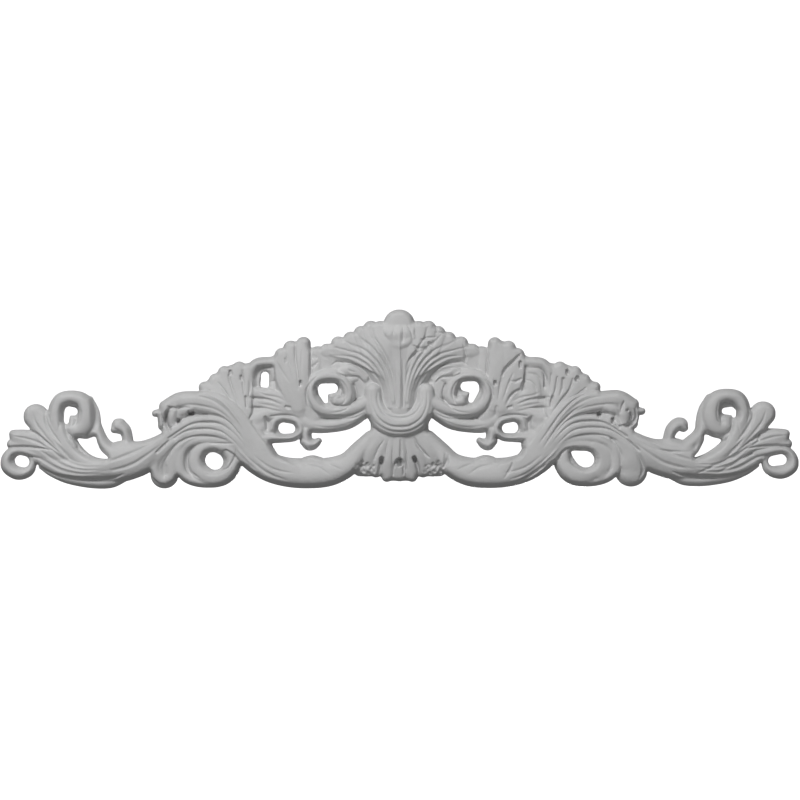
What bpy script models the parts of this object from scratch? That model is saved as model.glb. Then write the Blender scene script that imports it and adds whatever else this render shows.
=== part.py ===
"""A carved onlay applique, cast in one piece with a flat back that lies against a wall.

The front looks along -Y, the flat back lies in the plane y = 0 and +Z is up. The origin is
on the back, in the middle of the piece. The relief is carved like clay: strokes with a
route, a width and a crown are laid over each other on a grid of heights, grooves are cut
into them, openings are pierced, and the sheet is then cut out along its outline and closed.

Strokes are drawn in millimetres for one half, as (distance out from the middle, height up).
"""
import bmesh
import bpy
import numpy as np

WIDTH = 0.918
DEPTH = 0.031
DRAWN_WIDTH = 918.0
DRAWN_HALF_HEIGHT = 104.5
DRAWN_DEPTH = 31.0
GRID = 1.7
STRAIGHT_SIDE = 3.5
ROLL = 7.5
TRIANGLES = 9300
OUTSIDE = -30.0

# the right half sits a little closer in and higher than the left, below the middle
SLIP_AT = (0, 60, 120, 200, 260, 330, 380, 430, 460)
SLIP_IN = (0, 0, 2.5, 5.0, 4.0, 3.5, 2.5, 1.0, 0)
SLIP_UP = (0, 0, 0.5, 1.5, 2.0, 3.0, 2.0, 1.5, 0)
SLIP_TOP = 10.0
SLIP_FADE = 40.0


def through(values, count):
    """A smooth curve through evenly spaced values, read at count places."""
    values = np.asarray(values, dtype=float)
    if values.ndim == 1:
        values = values[:, None]
    place = np.linspace(0.0, len(values) - 1.0, count)
    index = np.minimum(place.astype(int), len(values) - 2)
    part = (place - index)[:, None]
    first = 2.0 * values[0] - values[1]
    last = 2.0 * values[-1] - values[-2]
    padded = np.vstack([first, values, last])
    before, start, end, after = (padded[index + k] for k in range(4))
    return 0.5 * (2.0 * start + (end - before) * part
                  + (2.0 * before - 5.0 * start + 4.0 * end - after) * part ** 2
                  + (3.0 * start - before - 3.0 * end + after) * part ** 3)


def along(values, place):
    """Values spread evenly along a stroke, read at places from 0 to 1."""
    values = np.atleast_1d(values)
    return np.interp(place, np.linspace(0.0, 1.0, len(values)), values)


def round_top(across):
    return np.sqrt(np.clip(1.0 - across ** 2, 0.0, 1.0))


def soft_top(across):
    return np.clip(1.0 - across ** 2, 0.0, 1.0)


def flat_top(across):
    return np.sqrt(np.clip(1.0 - across ** 4, 0.0, 1.0))


def leaf_edge(across):
    """A sharp crest with a long, even slope beside it."""
    return 1.0 - np.abs(across) ** 1.35


class Carving:
    """A grid of heights over the back, and of the distance inside the outline."""

    def __init__(self, half_width, half_height, step):
        self.step = step
        columns = int(half_width / step) + 1
        rows = int(half_height / step) + 1
        self.x = np.arange(-columns, columns + 1) * step
        self.z = np.arange(-rows, rows + 1) * step
        self.height = np.zeros((len(self.z), len(self.x)))
        self.cover = np.full(self.height.shape, OUTSIDE)
        self.face(-1)

    def face(self, side):
        """Turn to the left (-1) or right (1) half, where the strokes are laid next."""
        self.side = side
        self.out, self.up = np.meshgrid(side * self.x, self.z)
        if side > 0:
            fade = np.clip((SLIP_TOP - self.up) / SLIP_FADE, 0.0, 1.0)
            lift = np.interp(self.out, SLIP_AT, SLIP_UP)
            self.up = self.up - lift * np.maximum(fade, np.clip(self.out / 20.0 - 11.5, 0.0, 1.0))
            self.out = self.out + fade * np.interp(self.out, SLIP_AT, SLIP_IN)

    def near(self, route, widths, margin=0.0):
        """Around a stroke: where it is on the grid, and the place across it, along it and its width."""
        rough = through(route, 40)
        length = np.hypot(*np.diff(rough, axis=0).T).sum()
        count = int(max(12, length / 0.9))
        spine = through(route, count)
        width = np.maximum(through(widths, count)[:, 0], 0.05)
        run = np.concatenate([[0.0], np.cumsum(np.hypot(*np.diff(spine, axis=0).T))])
        heading = np.gradient(spine, axis=0)
        heading /= np.maximum(np.hypot(*heading.T), 1e-9)[:, None]
        reach = width.max() + margin + self.step
        low = spine.min(axis=0) - reach
        high = spine.max(axis=0) + reach
        close = (self.out >= low[0]) & (self.out <= high[0]) & (self.up >= low[1]) & (self.up <= high[1])
        rows, columns = np.nonzero(close)
        off_out = self.out[close][:, None] - spine[None, :, 0]
        off_up = self.up[close][:, None] - spine[None, :, 1]
        pick = ((off_out ** 2 + off_up ** 2) / width[None] ** 2).argmin(axis=1)
        off_out = np.take_along_axis(off_out, pick[:, None], axis=1)[:, 0]
        off_up = np.take_along_axis(off_up, pick[:, None], axis=1)[:, 0]
        forward = off_out * heading[pick, 0] + off_up * heading[pick, 1]
        aside = off_up * heading[pick, 0] - off_out * heading[pick, 1]
        place = run[pick] + forward
        past = (place < 0.0) | (place > run[-1])
        place = np.clip(place, 0.0, run[-1])
        local = np.interp(place, run, width)
        away = np.where(past, np.hypot(aside, forward), np.abs(aside))
        return (rows, columns), np.where(aside < 0.0, -away, away) / local, place / run[-1], local

    def lay(self, route, widths, crown, edge=5.0, top=round_top, lean=0.0, blend=0.0, drop=None):
        """Lay a stroke that rises from edge (or drop below its crown) to crown."""
        where, across, place, local = self.near(route, widths)
        crown = along(crown, place)
        edge = along(edge, place) if drop is None else np.maximum(crown - drop, 3.0)
        across = np.clip(across, -2.0, 2.0)
        inside = np.abs(across) < 1.0
        leaned = np.where(across < lean, (across - lean) / (1.0 + lean), (across - lean) / (1.0 - lean))
        new = edge + (crown - edge) * top(np.clip(leaned, -1.0, 1.0))
        old = self.height[where]
        mixed = np.maximum(old, new)
        if blend:
            mixed += np.clip(blend - np.abs(old - new), 0.0, None) ** 2 / (4.0 * blend)
        self.height[where] = np.where(inside, mixed, old)
        self.cover[where] = np.maximum(self.cover[where], (1.0 - np.abs(across)) * local)

    def cut(self, route, widths, depth):
        """Cut a groove along a stroke, shallower where it is narrower."""
        where, across, _, local = self.near(route, widths)
        self.height[where] -= depth * local / np.max(widths) * soft_top(across)

    def cut_between(self, first, last, count, widths, depth):
        """Cut a family of grooves that spread evenly between two routes."""
        for share in np.linspace(0.0, 1.0, count):
            route = (1.0 - share) * np.array(first, dtype=float) + share * np.array(last, dtype=float)
            self.cut(route, widths, depth)

    def pierce(self, route, widths):
        """Open a hole the shape of a stroke, right through."""
        where, across, _, local = self.near(route, widths, 3.0 * self.step)
        self.cover[where] = np.minimum(self.cover[where], (np.abs(across) - 1.0) * local)

    def open_hole(self, loop):
        """Open a hole with a smooth closed outline, right through."""
        loop = np.array(loop, dtype=float)
        fine = 12
        wrapped = np.vstack([loop[-1:], loop, loop[:2]])
        edge = through(wrapped, (len(wrapped) - 1) * fine + 1)[fine:(len(loop) + 1) * fine + 1]
        low = edge.min(axis=0) - 6.0
        high = edge.max(axis=0) + 6.0
        close = (self.out >= low[0]) & (self.out <= high[0]) & (self.up >= low[1]) & (self.up <= high[1])
        out = self.out[close][:, None]
        up = self.up[close][:, None]
        distance = np.hypot(out - edge[None, :, 0], up - edge[None, :, 1]).min(axis=1)
        start, end = edge[:-1], edge[1:]
        crossing = (start[:, 1] > up) != (end[:, 1] > up)
        rise = np.where(end[:, 1] == start[:, 1], 1e-9, end[:, 1] - start[:, 1])
        beyond = out < start[:, 0] + (end[:, 0] - start[:, 0]) * (up - start[:, 1]) / rise
        inside = (crossing & beyond).sum(axis=1) % 2 == 1
        self.cover[close] = np.minimum(self.cover[close], np.where(inside, -distance, distance))

    def soften_outline(self, reach):
        """Round the sharp notches between neighbouring lobes."""
        smooth = np.clip(self.cover, -2.5, 2.5)
        for _ in range(max(1, round((reach / self.step) ** 2))):
            total = smooth.copy()
            for axis in (0, 1):
                for shift in (-1, 1):
                    total += np.roll(smooth, shift, axis)
            smooth = total / 5.0
        near_edge = np.abs(smooth) < 2.0
        self.cover = np.where(near_edge, smooth, self.cover)

    def rim_distance(self, reach):
        """Distance in from the outline, walked out over the grid."""
        inside = self.cover > 0.0
        distance = np.where(inside, reach, 0.0)
        for axis in (0, 1):
            for shift in (-1, 1):
                beside = inside & ~np.roll(inside, shift, axis)
                distance = np.where(beside, np.clip(self.cover, 0.05, self.step), distance)
        for _ in range(int(reach / self.step) + 1):
            for row, column in ((0, 1), (1, 0), (1, 1), (1, -1)):
                pace = self.step * np.hypot(row, column)
                for sign in (-1, 1):
                    stepped = np.roll(distance, (sign * row, sign * column), (0, 1))
                    stepped = np.where(stepped > 0.0, stepped + pace, reach)
                    distance = np.where(inside, np.minimum(distance, stepped), distance)
        return distance

    def surface(self):
        """The carved heights, rolled down to a straight side all round the outline."""
        share = np.clip(self.rim_distance(ROLL) / ROLL, 0.0, 1.0)
        rolled = np.sqrt(1.0 - (1.0 - share) ** 2)
        height = np.maximum(self.height, STRAIGHT_SIDE)
        return STRAIGHT_SIDE + (height - STRAIGHT_SIDE) * rolled


def fan_webs(c):
    """The ground behind the two fans of leaves."""
    c.lay([(222, 4), (205, 12), (190, 22), (176, 26), (150, 34), (125, 44), (104, 48)], [9, 14, 14, 16,
          14, 15, 12], 11, top=flat_top)
    c.lay([(205, -10), (180, -8), (150, -4), (120, 0), (100, 5)], [14, 20, 24, 26, 16], 12, top=flat_top)


def outer_fan(c):
    """The leaf that fans out above the arch."""
    c.lay([(180, -40), (190, -8), (200, 12)], [10, 15, 16], [24, 18, 14], drop=5, blend=3)
    c.lay([(223.5, 12), (210.5, 22), (198.5, 30), (184, 35), (174, 34)], [6.5, 7.6, 8, 7.8, 6.5], 12,
          drop=3, blend=2)
    root = (177, -46)
    for tip, bend, width in (((224.5, 14.5), (206, -1), 6.8), ((212, 23), (201, 5), 7.5),
                             ((201.5, 31.5), (195, 11), 7.8), ((184.5, 36.5), (186, 11), 8.0),
                             ((173, 36), (176.5, 12), 6)):
        c.lay([root, bend, tip], [8, width + 2, width], [24, 19.5, 14], drop=2.6, blend=2.5)
    if c.side < 0:
        c.cut([(173, 33), (171.5, 24), (171.5, 14), (173, 4)], [1.5, 2.2, 1.8, 0.8], 4.0)
        c.cut([(180, 34), (179.5, 20), (178, 6)], [1.0, 1.9, 0.8], 3.0)
    else:
        c.cut([(188, 24), (187, 14), (184, 6)], [2.6, 2.4, 1.0], 3.2)
        c.cut([(199, 24), (195, 12), (187, 0), (178, -14)], [1.4, 2.0, 2.2, 0.8], 3.6)
        c.cut([(214, 14), (203, 5), (190, -8), (178, -24)], [1.2, 2.0, 2.2, 0.8], 3.4)
        c.cut([(222, 8), (209, 0), (196, -12), (182, -30)], [1.0, 1.8, 2.0, 0.6], 2.8)
        c.cut([(181, 26), (179, 12), (174, -4)], [1.4, 2.2, 1.0], 3.2)


def arched_leaf(c):
    """The hood between the two fans: open in the left half, a folded leaf in the right."""
    c.lay([(172, 8), (172, 28), (166, 41), (152, 44), (140, 42)], [5, 5.5, 6, 6, 6], [14, 15, 16, 16, 15],
          8, blend=1.5)
    if c.side < 0:
        c.cut([(164, 14), (163.5, 28), (158, 36), (148, 38)], [2.6, 3.6, 3.6, 2.6], 4.0)
        c.pierce([(155.3, 17.5), (154.8, 28)], [4.9, 4.6])
    else:
        c.lay([(152, -2), (154, 16), (156, 35)], [8, 11, 10], [17, 17, 15], drop=3, blend=3)
        c.cut([(171, 8), (168.5, 24), (161, 35.5), (147, 37)], [1.0, 2.2, 2.2, 1.0], 2.4)


def inner_fan(c):
    """The tall leaf next to the volute, with a darker leaf tip behind it."""
    c.lay([(98, 24), (97.5, 40), (97, 54.5)], [7, 7.5, 6.5], [13, 13, 12], drop=3)
    c.lay([(118, -12), (124, 14), (128, 38), (128, 50)], [12, 17, 15, 12], [18, 18.5, 17.5, 16], drop=5,
          blend=3)
    c.lay([(137, 50), (127, 57), (115, 62)], [6, 7, 7], 14, drop=3, blend=2)
    root = (117, -8)
    for tip, bend, width in (((135.5, 51.5), (131, 24), 8.5), ((125, 59.5), (122, 30), 9)):
        c.lay([root, bend, tip], [7, width + 2, width], [18, 19, 15.5], drop=2.0, blend=3)
    if c.side < 0:
        c.lay([(112, -8), (111.0, 22), (111.2, 45), (110.5, 64.5)], [7, 8, 8.5, 8.5], [18, 20, 20, 16.5],
              drop=3.5, blend=2)
        c.cut([(119.5, 66), (119.4, 50), (117.2, 32), (116, 12)], [1.0, 1.9, 1.6, 0.8], 2.4)
        c.cut([(102.5, 70), (103.0, 48), (103, 26), (105, 5), (106, -8)], [1.8, 2.4, 2.6, 1.8, 1.0], 3.8)
    else:
        c.lay([(108, -8), (107.5, 20), (110.0, 42), (109.5, 64.5)], [6, 7.5, 9, 8.0], [18, 19.5, 19.5,
              16.5], drop=2.5, blend=3)
        c.lay([(110, 20), (116, 40), (121, 58)], [6, 9, 8], [19, 19.5, 16], drop=2.5, blend=3)
        c.cut([(138, 52), (130, 44), (121, 35), (118.5, 29)], [1.6, 2.6, 2.4, 1.8], 5.0)
        c.cut([(139, 24), (133, 21), (126, 22)], [1.8, 2.2, 1.0], 2.4)
        c.cut([(137, 12), (129, 6), (123, -6)], [1.8, 2.4, 1.6], 3.4)
        c.cut([(112, -8), (111, -20)], [2.0, 2.2], 3.0)


def side_lobes(c):
    """The soft lobes that point outwards under the arched leaf, one below the other."""
    root = (118, -8)
    for tip, bend in (((168, 9), (150, 5)), ((168, -4), (150, -5)), ((165, -16), (148, -14))):
        c.lay([root, bend, tip], [7, 8, 6], [17, 17.5, 14.5], drop=3, blend=2.5)
    c.cut([(172, 3), (163, 1.5), (150, 0), (136, -5)], [1.6, 2.4, 2.2, 0.8], 3.0)
    c.cut([(172, -9), (163, -9), (150, -11), (137, -13)], [1.2, 2.2, 2.2, 0.8], 2.6)
    c.cut([(171, -21), (167, -16), (158, -15), (146, -17)], [2.4, 2.4, 2.0, 0.8], 3.6)
    c.cut([(175.5, 3), (175, -8)], [2.2, 1.6], 4.5)


def hook(c):
    """The small curl that stands on the wing."""
    if c.side < 0:
        c.lay([(313, -58), (313, -45), (316, -35), (322.5, -30.3)], [7, 6.3, 7, 9.3], [16, 15, 16, 17], 8,
              blend=2)
        c.lay([(323.5, -30.5), (327.5, -33.5)], [9.3, 5.4], [17, 15], 8, blend=2)
    else:
        c.lay([(313, -60), (313.5, -46), (317, -36.5), (323, -31), (328.5, -31.5), (330, -34)],
              [7.5, 6.5, 7.2, 8, 7.4, 6], [16, 15, 16, 17, 16, 15], 8, blend=2)


def trunk_and_belly(c):
    """The low stem that swings from the arch, under the middle, up to the collar."""
    c.lay([(185, -34), (176, -46), (168, -58), (160, -68), (150, -77)], [17, 21, 22, 20, 17], [24, 25,
          25.5, 26, 26], 15, blend=2)
    c.lay([(176, -46), (168, -62), (152, -76), (130, -83), (104, -84.5), (80, -82.5), (60, -74),
          (46, -58), (33, -44)], [14, 18, 17, 17, 17.5, 16.5, 14, 11, 9], [24, 25, 26, 26, 26, 26, 24, 21,
          19], 9, lean=0.2, blend=2)
    c.lay([(110, -67.5), (100, -66.5), (90, -68)], [2, 3, 2], [14, 18, 14], blend=3)
    if c.side > 0:
        c.lay([(157, -43), (149.5, -53)], [8, 6.5], [22, 23], 12, blend=2)


def arch_leaf(c):
    """The broad band over the arch, and the flutes that spread under it into the trunk."""
    c.lay([(262, -38), (245, -26), (228, -24), (205, -28), (185, -42)], [12, 14, 15, 16, 16], [15, 18, 20,
          22, 23], 8, top=flat_top)
    c.lay([(269, -8), (253, -1.5), (236, -1.5), (218, -3.5), (203, -9.5), (191, -19), (180, -34),
          (169, -50), (156, -65), (140, -76), (122, -82)], [8, 10.5, 11.8, 13, 13, 12.5, 12.5, 13, 12.5,
          11, 8], [17, 21, 23.5, 24.5, 25.2, 25.4, 25.6, 25.8, 26, 26, 25.5], [10, 14, 17, 19, 20.5, 21.5,
          22.5, 23.5, 24, 24, 24], blend=2)
    for route, widths in (
            ([(318, -61), (300, -57.5), (284, -51.5), (266, -42), (250, -33), (236, -25.8), (222, -22),
              (208, -22), (195, -27), (183, -38), (172, -52), (160, -66)],
             [8, 9, 8, 7, 6.2, 5.4, 5, 5, 6, 7.5, 9, 9]),
            ([(279, -68), (268, -57), (255, -46.5), (243, -37), (230, -31), (215, -30), (200, -33.5),
              (187, -43), (176, -55), (164, -69)],
             [4, 4.6, 4.8, 4.6, 4.6, 4.6, 5.4, 7.5, 9, 9]),
            ([(266, -72), (260, -58), (250, -49), (240, -42), (228, -38), (212, -37.5), (196, -41),
              (184, -50), (174, -62), (162, -74)],
             [4, 4.8, 4.8, 4.4, 4.4, 4.8, 5.6, 7.5, 9, 9])):
        c.lay(route, widths, [17.5, 20.5, 22, 23, 24, 24.5, 25, 25.8], drop=2.2, blend=1.2)


def wing_stem(c):
    """The stem that swings out from the arch to the end, with a lip under it."""
    c.lay([(418, -68), (400, -72.5), (380, -77), (352, -79), (322, -71), (300, -67.5), (284, -59.5),
          (266, -47)], [5, 10.5, 14.5, 14.5, 23.5, 20.5, 16, 11], [12, 18, 22, 24, 25, 24, 23, 20], 8,
          lean=-0.1, blend=3)
    c.lay([(413, -77), (400, -84), (380, -91), (352, -95), (332, -94.5), (316, -89)], [2.5, 4.5, 6.0, 7.0,
          7.0, 5], [8, 10.5, 12, 13.5, 13.5, 12], 7, blend=1)


def arch_grooves(c):
    """The long grooves that divide the arch's flutes and fade out in the trunk."""
    c.cut([(247, -15.5), (234, -16), (220, -17), (206, -19.5), (195, -26), (185, -37), (177, -48)], [1.4,
          3.0, 3.2, 2.6, 1.9, 1.2, 0.4], 4.6)
    c.cut([(264, -44), (250, -34.5), (238, -28), (224, -25.7), (208, -27), (196, -33), (185, -43),
          (175, -55)], [1.8, 1.8, 1.9, 2.1, 1.8, 1.3, 0.8, 0.3], 2.8)
    c.cut([(278, -60), (262, -46.5), (248, -37.5), (234, -33.7), (218, -33.4), (203, -37), (190, -47),
          (178, -60)], [2.2, 2.0, 1.8, 1.9, 1.7, 1.4, 0.9, 0.3], 2.8)
    c.cut([(268, -68), (258, -54), (246, -45.5), (232, -41.5), (216, -41.5), (201, -46), (190, -54),
          (179, -67)], [2.4, 2.2, 2.0, 1.8, 1.6, 1.4, 0.9, 0.3], 3.0)
    if c.side > 0:
        c.cut([(226, 11), (212, 6), (199, -3), (187, -17), (176, -34), (164, -50)], [0.8, 1.8, 2.2, 2.2,
              1.8, 0.6], 3.2)
        c.cut([(214, -6), (202, -13), (190, -26), (178, -42), (168, -56)], [0.6, 1.8, 2.2, 1.8, 0.6], 2.4)


def end_leaf(c):
    """The blunt low lobe and the upright lobe that close the end."""
    c.lay([(392, -56), (415, -47), (432, -43.5), (441, -42)], [13, 11.5, 9.5, 8], [19, 17, 15, 13],
          drop=5, blend=3)
    c.lay([(396, -62), (418, -55), (436, -52), (446, -51)], [10, 8, 7, 6], [18, 16, 14, 11.5], drop=4,
          blend=2)
    c.lay([(434, -40.5), (444.5, -39.4)], [6, 5.0], [14, 12], drop=4, blend=2)
    tip = (418.5, -19) if c.side < 0 else (419, -17.5)
    c.lay([(384, -56), (399, -41), (410, -28), tip], [14, 14.5, 14.8, 14.4], [21, 20, 18.5, 15.5],
          drop=4.5, blend=2)
    c.cut([(407, -12), (405, -25), (398, -38), (388, -50)], [0.8, 2.6, 2.8, 0.8], 3.0)
    c.cut([(432, -33), (418, -38), (404, -49), (390, -60)], [1.2, 2.6, 2.4, 0.8], 3.4)
    if c.side > 0:
        c.cut([(430, -36), (418, -41), (407, -48)], [2.0, 4.0, 2.0], 2.4)
        c.cut([(445, -56), (424, -58), (408, -62), (396, -68)], [1.2, 2.6, 3.0, 1.0], 5.0)


def wing_grooves(c):
    """The lines that run from the end lobes along the wing, and the step over its lip."""
    c.cut([(406, -81), (392, -86.5), (372, -90), (350, -91), (330, -89.5), (316, -85)], [0.8, 2.2, 2.8,
          3.0, 2.4, 0.8], 4.5)
    depth = 1.8 if c.side < 0 else 2.6
    c.cut_between([(396, -46), (388, -56), (376, -66), (360, -72), (340, -72)], [(424, -61), (406, -71),
                  (388, -80), (366, -84.5), (340, -84)], 4, [0.8, 2.4, 3.0, 2.2, 0.4], depth)
    if c.side > 0:
        c.cut([(392, -60), (376, -71), (360, -79), (342, -88)], [0.8, 2.0, 2.4, 0.8], 2.4)
        c.cut([(398, -65), (382, -77), (366, -86)], [0.8, 2.2, 0.8], 2.4)


def end_ring(c):
    c.lay([(436, -70), (437, -70)], [12, 12], 7)
    c.lay([(410, -63), (424, -60.5), (436, -58.5), (447, -60.5), (452, -69), (450, -78), (439, -84.5),
          (428, -82), (423.5, -75), (423, -68)], [5, 4.5, 4.8, 5.5, 6.8, 7.7, 7.7, 6.8, 5.5, 4.5], [15,
          14.5, 14.5, 15, 16, 16, 16, 15, 13, 10], 8, lean=-0.1)
    c.cut([(398, -58), (412, -55.5), (430, -54), (450, -54.5)], [0.6, 1.8, 2.4, 2.2], 4.0)
    if c.side < 0:
        c.pierce([(432.5, -71.2), (436.5, -70.2)], [6.5, 6.5])
    else:
        c.pierce([(431.0, -71.8), (440.0, -69.8)], [5.8, 6.2])


def upper_volute(c):
    """The large scroll over the end, with its eye and the opening under its foot."""
    if c.side < 0:
        c.lay([(352, -20), (347, -36), (340.5, -50), (330, -60)], [6, 6.5, 7.5, 9], [12, 14, 18, 22], 6,
              blend=4)
        c.lay([(352, -38), (362, -40), (372, -42)], [6, 6, 6], [11, 12, 13], 7, blend=3)
    else:
        c.lay([(353, -20), (350.5, -34), (347, -43), (340, -51), (330, -60)], [6, 6.5, 7, 8, 9],
              [12, 14, 16, 18, 22], 6, blend=4)
        c.lay([(350, -40), (349, -50), (345, -62)], [4, 6, 7], [14, 16, 20], 6, blend=4)
        c.lay([(356, -36), (368, -40), (378, -43)], [6, 7, 7], [11, 12, 13], 7, blend=3)
    c.lay([(380, -14), (370, -16), (366, -28)], [12, 12, 13.5], 12)
    c.lay([(384, -30), (376, -44), (366, -57), (352, -66)], [9, 9.5, 8, 5], [12, 12.5, 14, 20], 7,
          blend=2)
    c.lay([(358, -1), (353.5, -14), (351.5, -28), (351.5, -36)], [6, 8, 8, 7.5], 12.5, 6, blend=4)
    c.lay([(334, -80), (352, -75), (368, -67), (380, -55), (388, -41), (393.5, -26), (395, -12), (389, 0),
          (376, 3.5), (364, -1), (359.5, -14), (361, -27), (368, -34.8), (376, -32.5), (377, -25)], [6, 7,
          7.2, 7.4, 7.6, 8, 9.2, 8.5, 7.5, 8.5, 9.5, 9.5, 9.0, 7.2, 5.5], [23.5, 23, 22, 21.5, 21, 20.5,
          20.5, 20.5, 20.5, 21, 21, 21, 21, 19.5, 16], [21, 20, 17, 15, 14, 13, 13, 12, 12, 12, 12, 12,
          12, 11, 10], lean=0.1, blend=1.0)
    c.cut([(386, -20), (384, -33), (378.5, -46), (369, -57), (356, -65.5), (342, -68)], [0.8, 1.8, 2.4,
          2.4, 1.8, 0.6], 3.0)
    if c.side < 0:
        c.pierce([(380.5, -12.5), (375, -13.3)], [5.0, 4.6])
        c.pierce([(382.5, -15), (383.5, -25)], [3.6, 2.8])
        c.open_hole([(371, -45.0), (360, -45.0), (350.5, -42.5), (347.5, -50), (343.5, -58.5),
                    (334.8, -67), (345, -67), (354, -64), (363, -57)])
    else:
        c.pierce([(382.5, -14.6), (376, -14.8)], [4.6, 3.8])
        c.pierce([(385.5, -15), (386.5, -20)], [3.2, 2.4])
        c.open_hole([(354.5, -42.5), (364, -45.5), (373, -48.5), (366.5, -56), (355, -64), (342.2, -69),
                    (347, -62), (351.3, -54), (353.6, -48)])


def curled_leaf(c):
    """The turned-over tip of the arch leaf."""
    c.lay([(250, -24), (262, -30), (272, -30)], [14, 11, 6], [16, 15, 12])
    c.lay([(262, -14), (268, -26)], [12, 9.5], 10)
    c.lay([(256, -4), (267, -9.5), (273.5, -18), (274.0, -28)], [8, 7, 4.8, 4], [20, 19, 16, 15], drop=6,
          blend=1)
    c.lay([(272, -14), (281, -15.5)], [5, 4.2], [15, 12], drop=5, blend=1)
    c.lay([(257, -9), (261, -20), (261.5, -28)], [5, 6, 5.5], [21, 21, 18], drop=7, blend=0.5)
    c.lay([(238, -9), (249, -13.5), (254, -18)], [5, 5.5, 4.5], [23, 22, 18], drop=6, blend=0.5)
    c.lay([(236, -21), (246, -26), (256, -34)], [4, 5, 5], [20, 20, 18], drop=5, blend=0.5)
    if c.side < 0:
        c.cut([(263, -9), (267.3, -16), (267.5, -27), (264, -34)], [1.4, 2.7, 2.8, 2.8], 8)
        c.cut([(238, -16), (246, -20), (253, -24)], [2.6, 1.6, 2.2], 5)
        c.cut([(265, -8), (256, -9.5), (247, -8.5), (240, -9)], [1.6, 2.4, 1.6, 0.8], 4.0)
    else:
        c.cut([(258, -4), (256.5, -10), (256, -16)], [1.2, 2.2, 1.4], 4.5)
        c.cut([(272, -12), (274, -22), (269, -30), (257, -32)], [1.4, 2.4, 2.8, 1.8], 5.5)
        c.cut([(249, -18), (251, -28), (256, -34)], [0.8, 1.8, 1.6], 3)


def tongue(c):
    """The lobe that hangs between the wing stem and the small ring."""
    if c.side < 0:
        c.lay([(262, -48), (267, -60), (270, -74), (270.5, -86)], [10, 14, 17, 16], [18, 18, 16.5, 13.5], 6,
              blend=1)
        c.lay([(260, -48), (272, -60), (280.5, -72), (280, -84), (273, -92)], [3.6, 5.0, 5.6, 5.4, 4.6],
              [22, 20.5, 19, 17.5, 16], drop=4, blend=2)
        c.lay([(250, -52), (257, -64), (260, -76), (262, -87), (269, -92.5)], [4, 5.8, 6.2, 5.6, 4.6],
              [21, 20, 18.5, 17, 16], drop=4, blend=2)
        c.cut([(260, -58), (267, -67), (270.5, -77), (270, -87)], [0.8, 2.4, 3.8, 2.0], 2.8)
    else:
        c.lay([(262, -48), (268, -60), (271, -74), (270.5, -83.5)], [10, 15, 19.5, 18.5], [19, 19.5, 19.5,
              17.5], 6, blend=1)
        c.lay([(256, -50), (265, -62), (268, -76), (268, -86)], [5, 8, 10, 9], [21, 21, 20.5, 17], drop=4,
              blend=2)
        c.cut([(272, -56), (279, -68), (283, -82), (279, -92)], [0.8, 2.6, 3.0, 1.4], 2.6)
        c.cut([(246, -46), (252, -56), (253, -70), (251, -84)], [1.6, 3.4, 3.4, 2.4], 5.0)


def small_ring(c):
    """The scroll beside the tongue, with a round eye and a strand falling round it."""
    c.lay([(212, -70), (222, -68), (230, -68)], [21, 22, 22], 16, 9, blend=1)
    c.lay([(176, -64), (190, -52), (207, -46), (226, -45.5), (240, -49), (249, -57), (252.5, -70),
          (250, -84), (240, -92), (222, -95.5), (205, -93.5), (194, -87), (188, -78)], [6, 6, 5.5, 5, 5,
          5.5, 6, 6, 6, 6, 6, 5.5, 4.5], [25, 24, 22, 21, 21, 20.5, 20, 19, 18, 18, 18.5, 18.5, 18],
          drop=4.5, blend=0.8)
    c.lay([(172, -70), (182, -62), (193, -56), (207, -52.5), (222, -53.5), (232, -61), (234, -72),
          (228, -83), (214, -88), (200, -85), (192, -76), (192, -66), (198, -59)], [7, 8, 8, 7.5, 7.5,
          8.5, 9, 9.5, 10, 10, 9.5, 8.5, 7], [25, 24, 23, 22, 21, 20, 20, 20.5, 21.5, 22, 22, 21, 20],
          drop=6, lean=-0.1, blend=1)
    if c.side < 0:
        c.cut([(234, -53), (241.5, -61), (243, -72), (239.5, -82), (229, -90)], [0.8, 1.9, 2.2, 1.9, 0.8],
              3.2)
        c.cut([(184, -76), (186, -66), (196, -59.5), (206, -60)], [1.0, 2.0, 1.8, 0.8], 2.6)
        c.pierce([(212.4, -71.0), (214.6, -69.6)], [9.4, 9.2])
    else:
        c.lay([(228, -54), (238, -62), (240, -74), (234, -86)], [6, 8, 8, 7], [20.5, 20, 19.5, 19],
              drop=4, blend=3)
        c.open_hole([(202.5, -61.3), (213, -60.3), (222.7, -61.5), (228.3, -67.8), (227.8, -74.6),
                    (222.7, -78.8), (215, -78.4), (208, -72.8)])


def oval_scroll(c):
    """The scroll with the oval eye, and the knob that hangs from it over the long opening."""
    c.lay([(165, -22), (150, -16), (128, -16), (110, -24), (100, -30)], [10, 9, 8, 8, 8], [19, 17.5, 16,
          16, 15], 9, blend=2)
    c.lay([(168, -34), (156, -30), (150, -38)], [13, 10, 8], [20, 17, 15], 9, blend=3)
    c.lay([(136, -34), (122, -34)], [10, 9], 10)
    c.lay([(172, -52), (162, -45), (150, -44), (135, -44.2), (121, -42.5), (113.5, -35), (117, -26),
          (130, -21.5), (142, -24), (146.5, -33)], [6, 6, 6.2, 5.2, 5, 5, 5, 5.5, 5.5, 5], [24, 23, 20.5,
          19.5, 19, 19, 18.5, 18, 18, 17], 8, blend=1.5)
    c.cut([(154, -20), (151.5, -27), (152, -34)], [2.2, 3.4, 2.6], 4.5)
    c.pierce([(125.8, -33), (133.2, -32.5)], [5.6, 6.4])
    c.lay([(108, -36), (107, -41), (106, -46)], [6.5, 6, 5.5], 17, 9)
    c.lay([(110, -48), (104, -51.5), (98, -50.5), (93.5, -47.5)], [5, 7.2, 6.2, 4.2], [17, 19.5, 18, 16],
          8, blend=1)
    c.cut([(102, -36), (103, -42)], [1.2, 1.8], 2.5)


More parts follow.
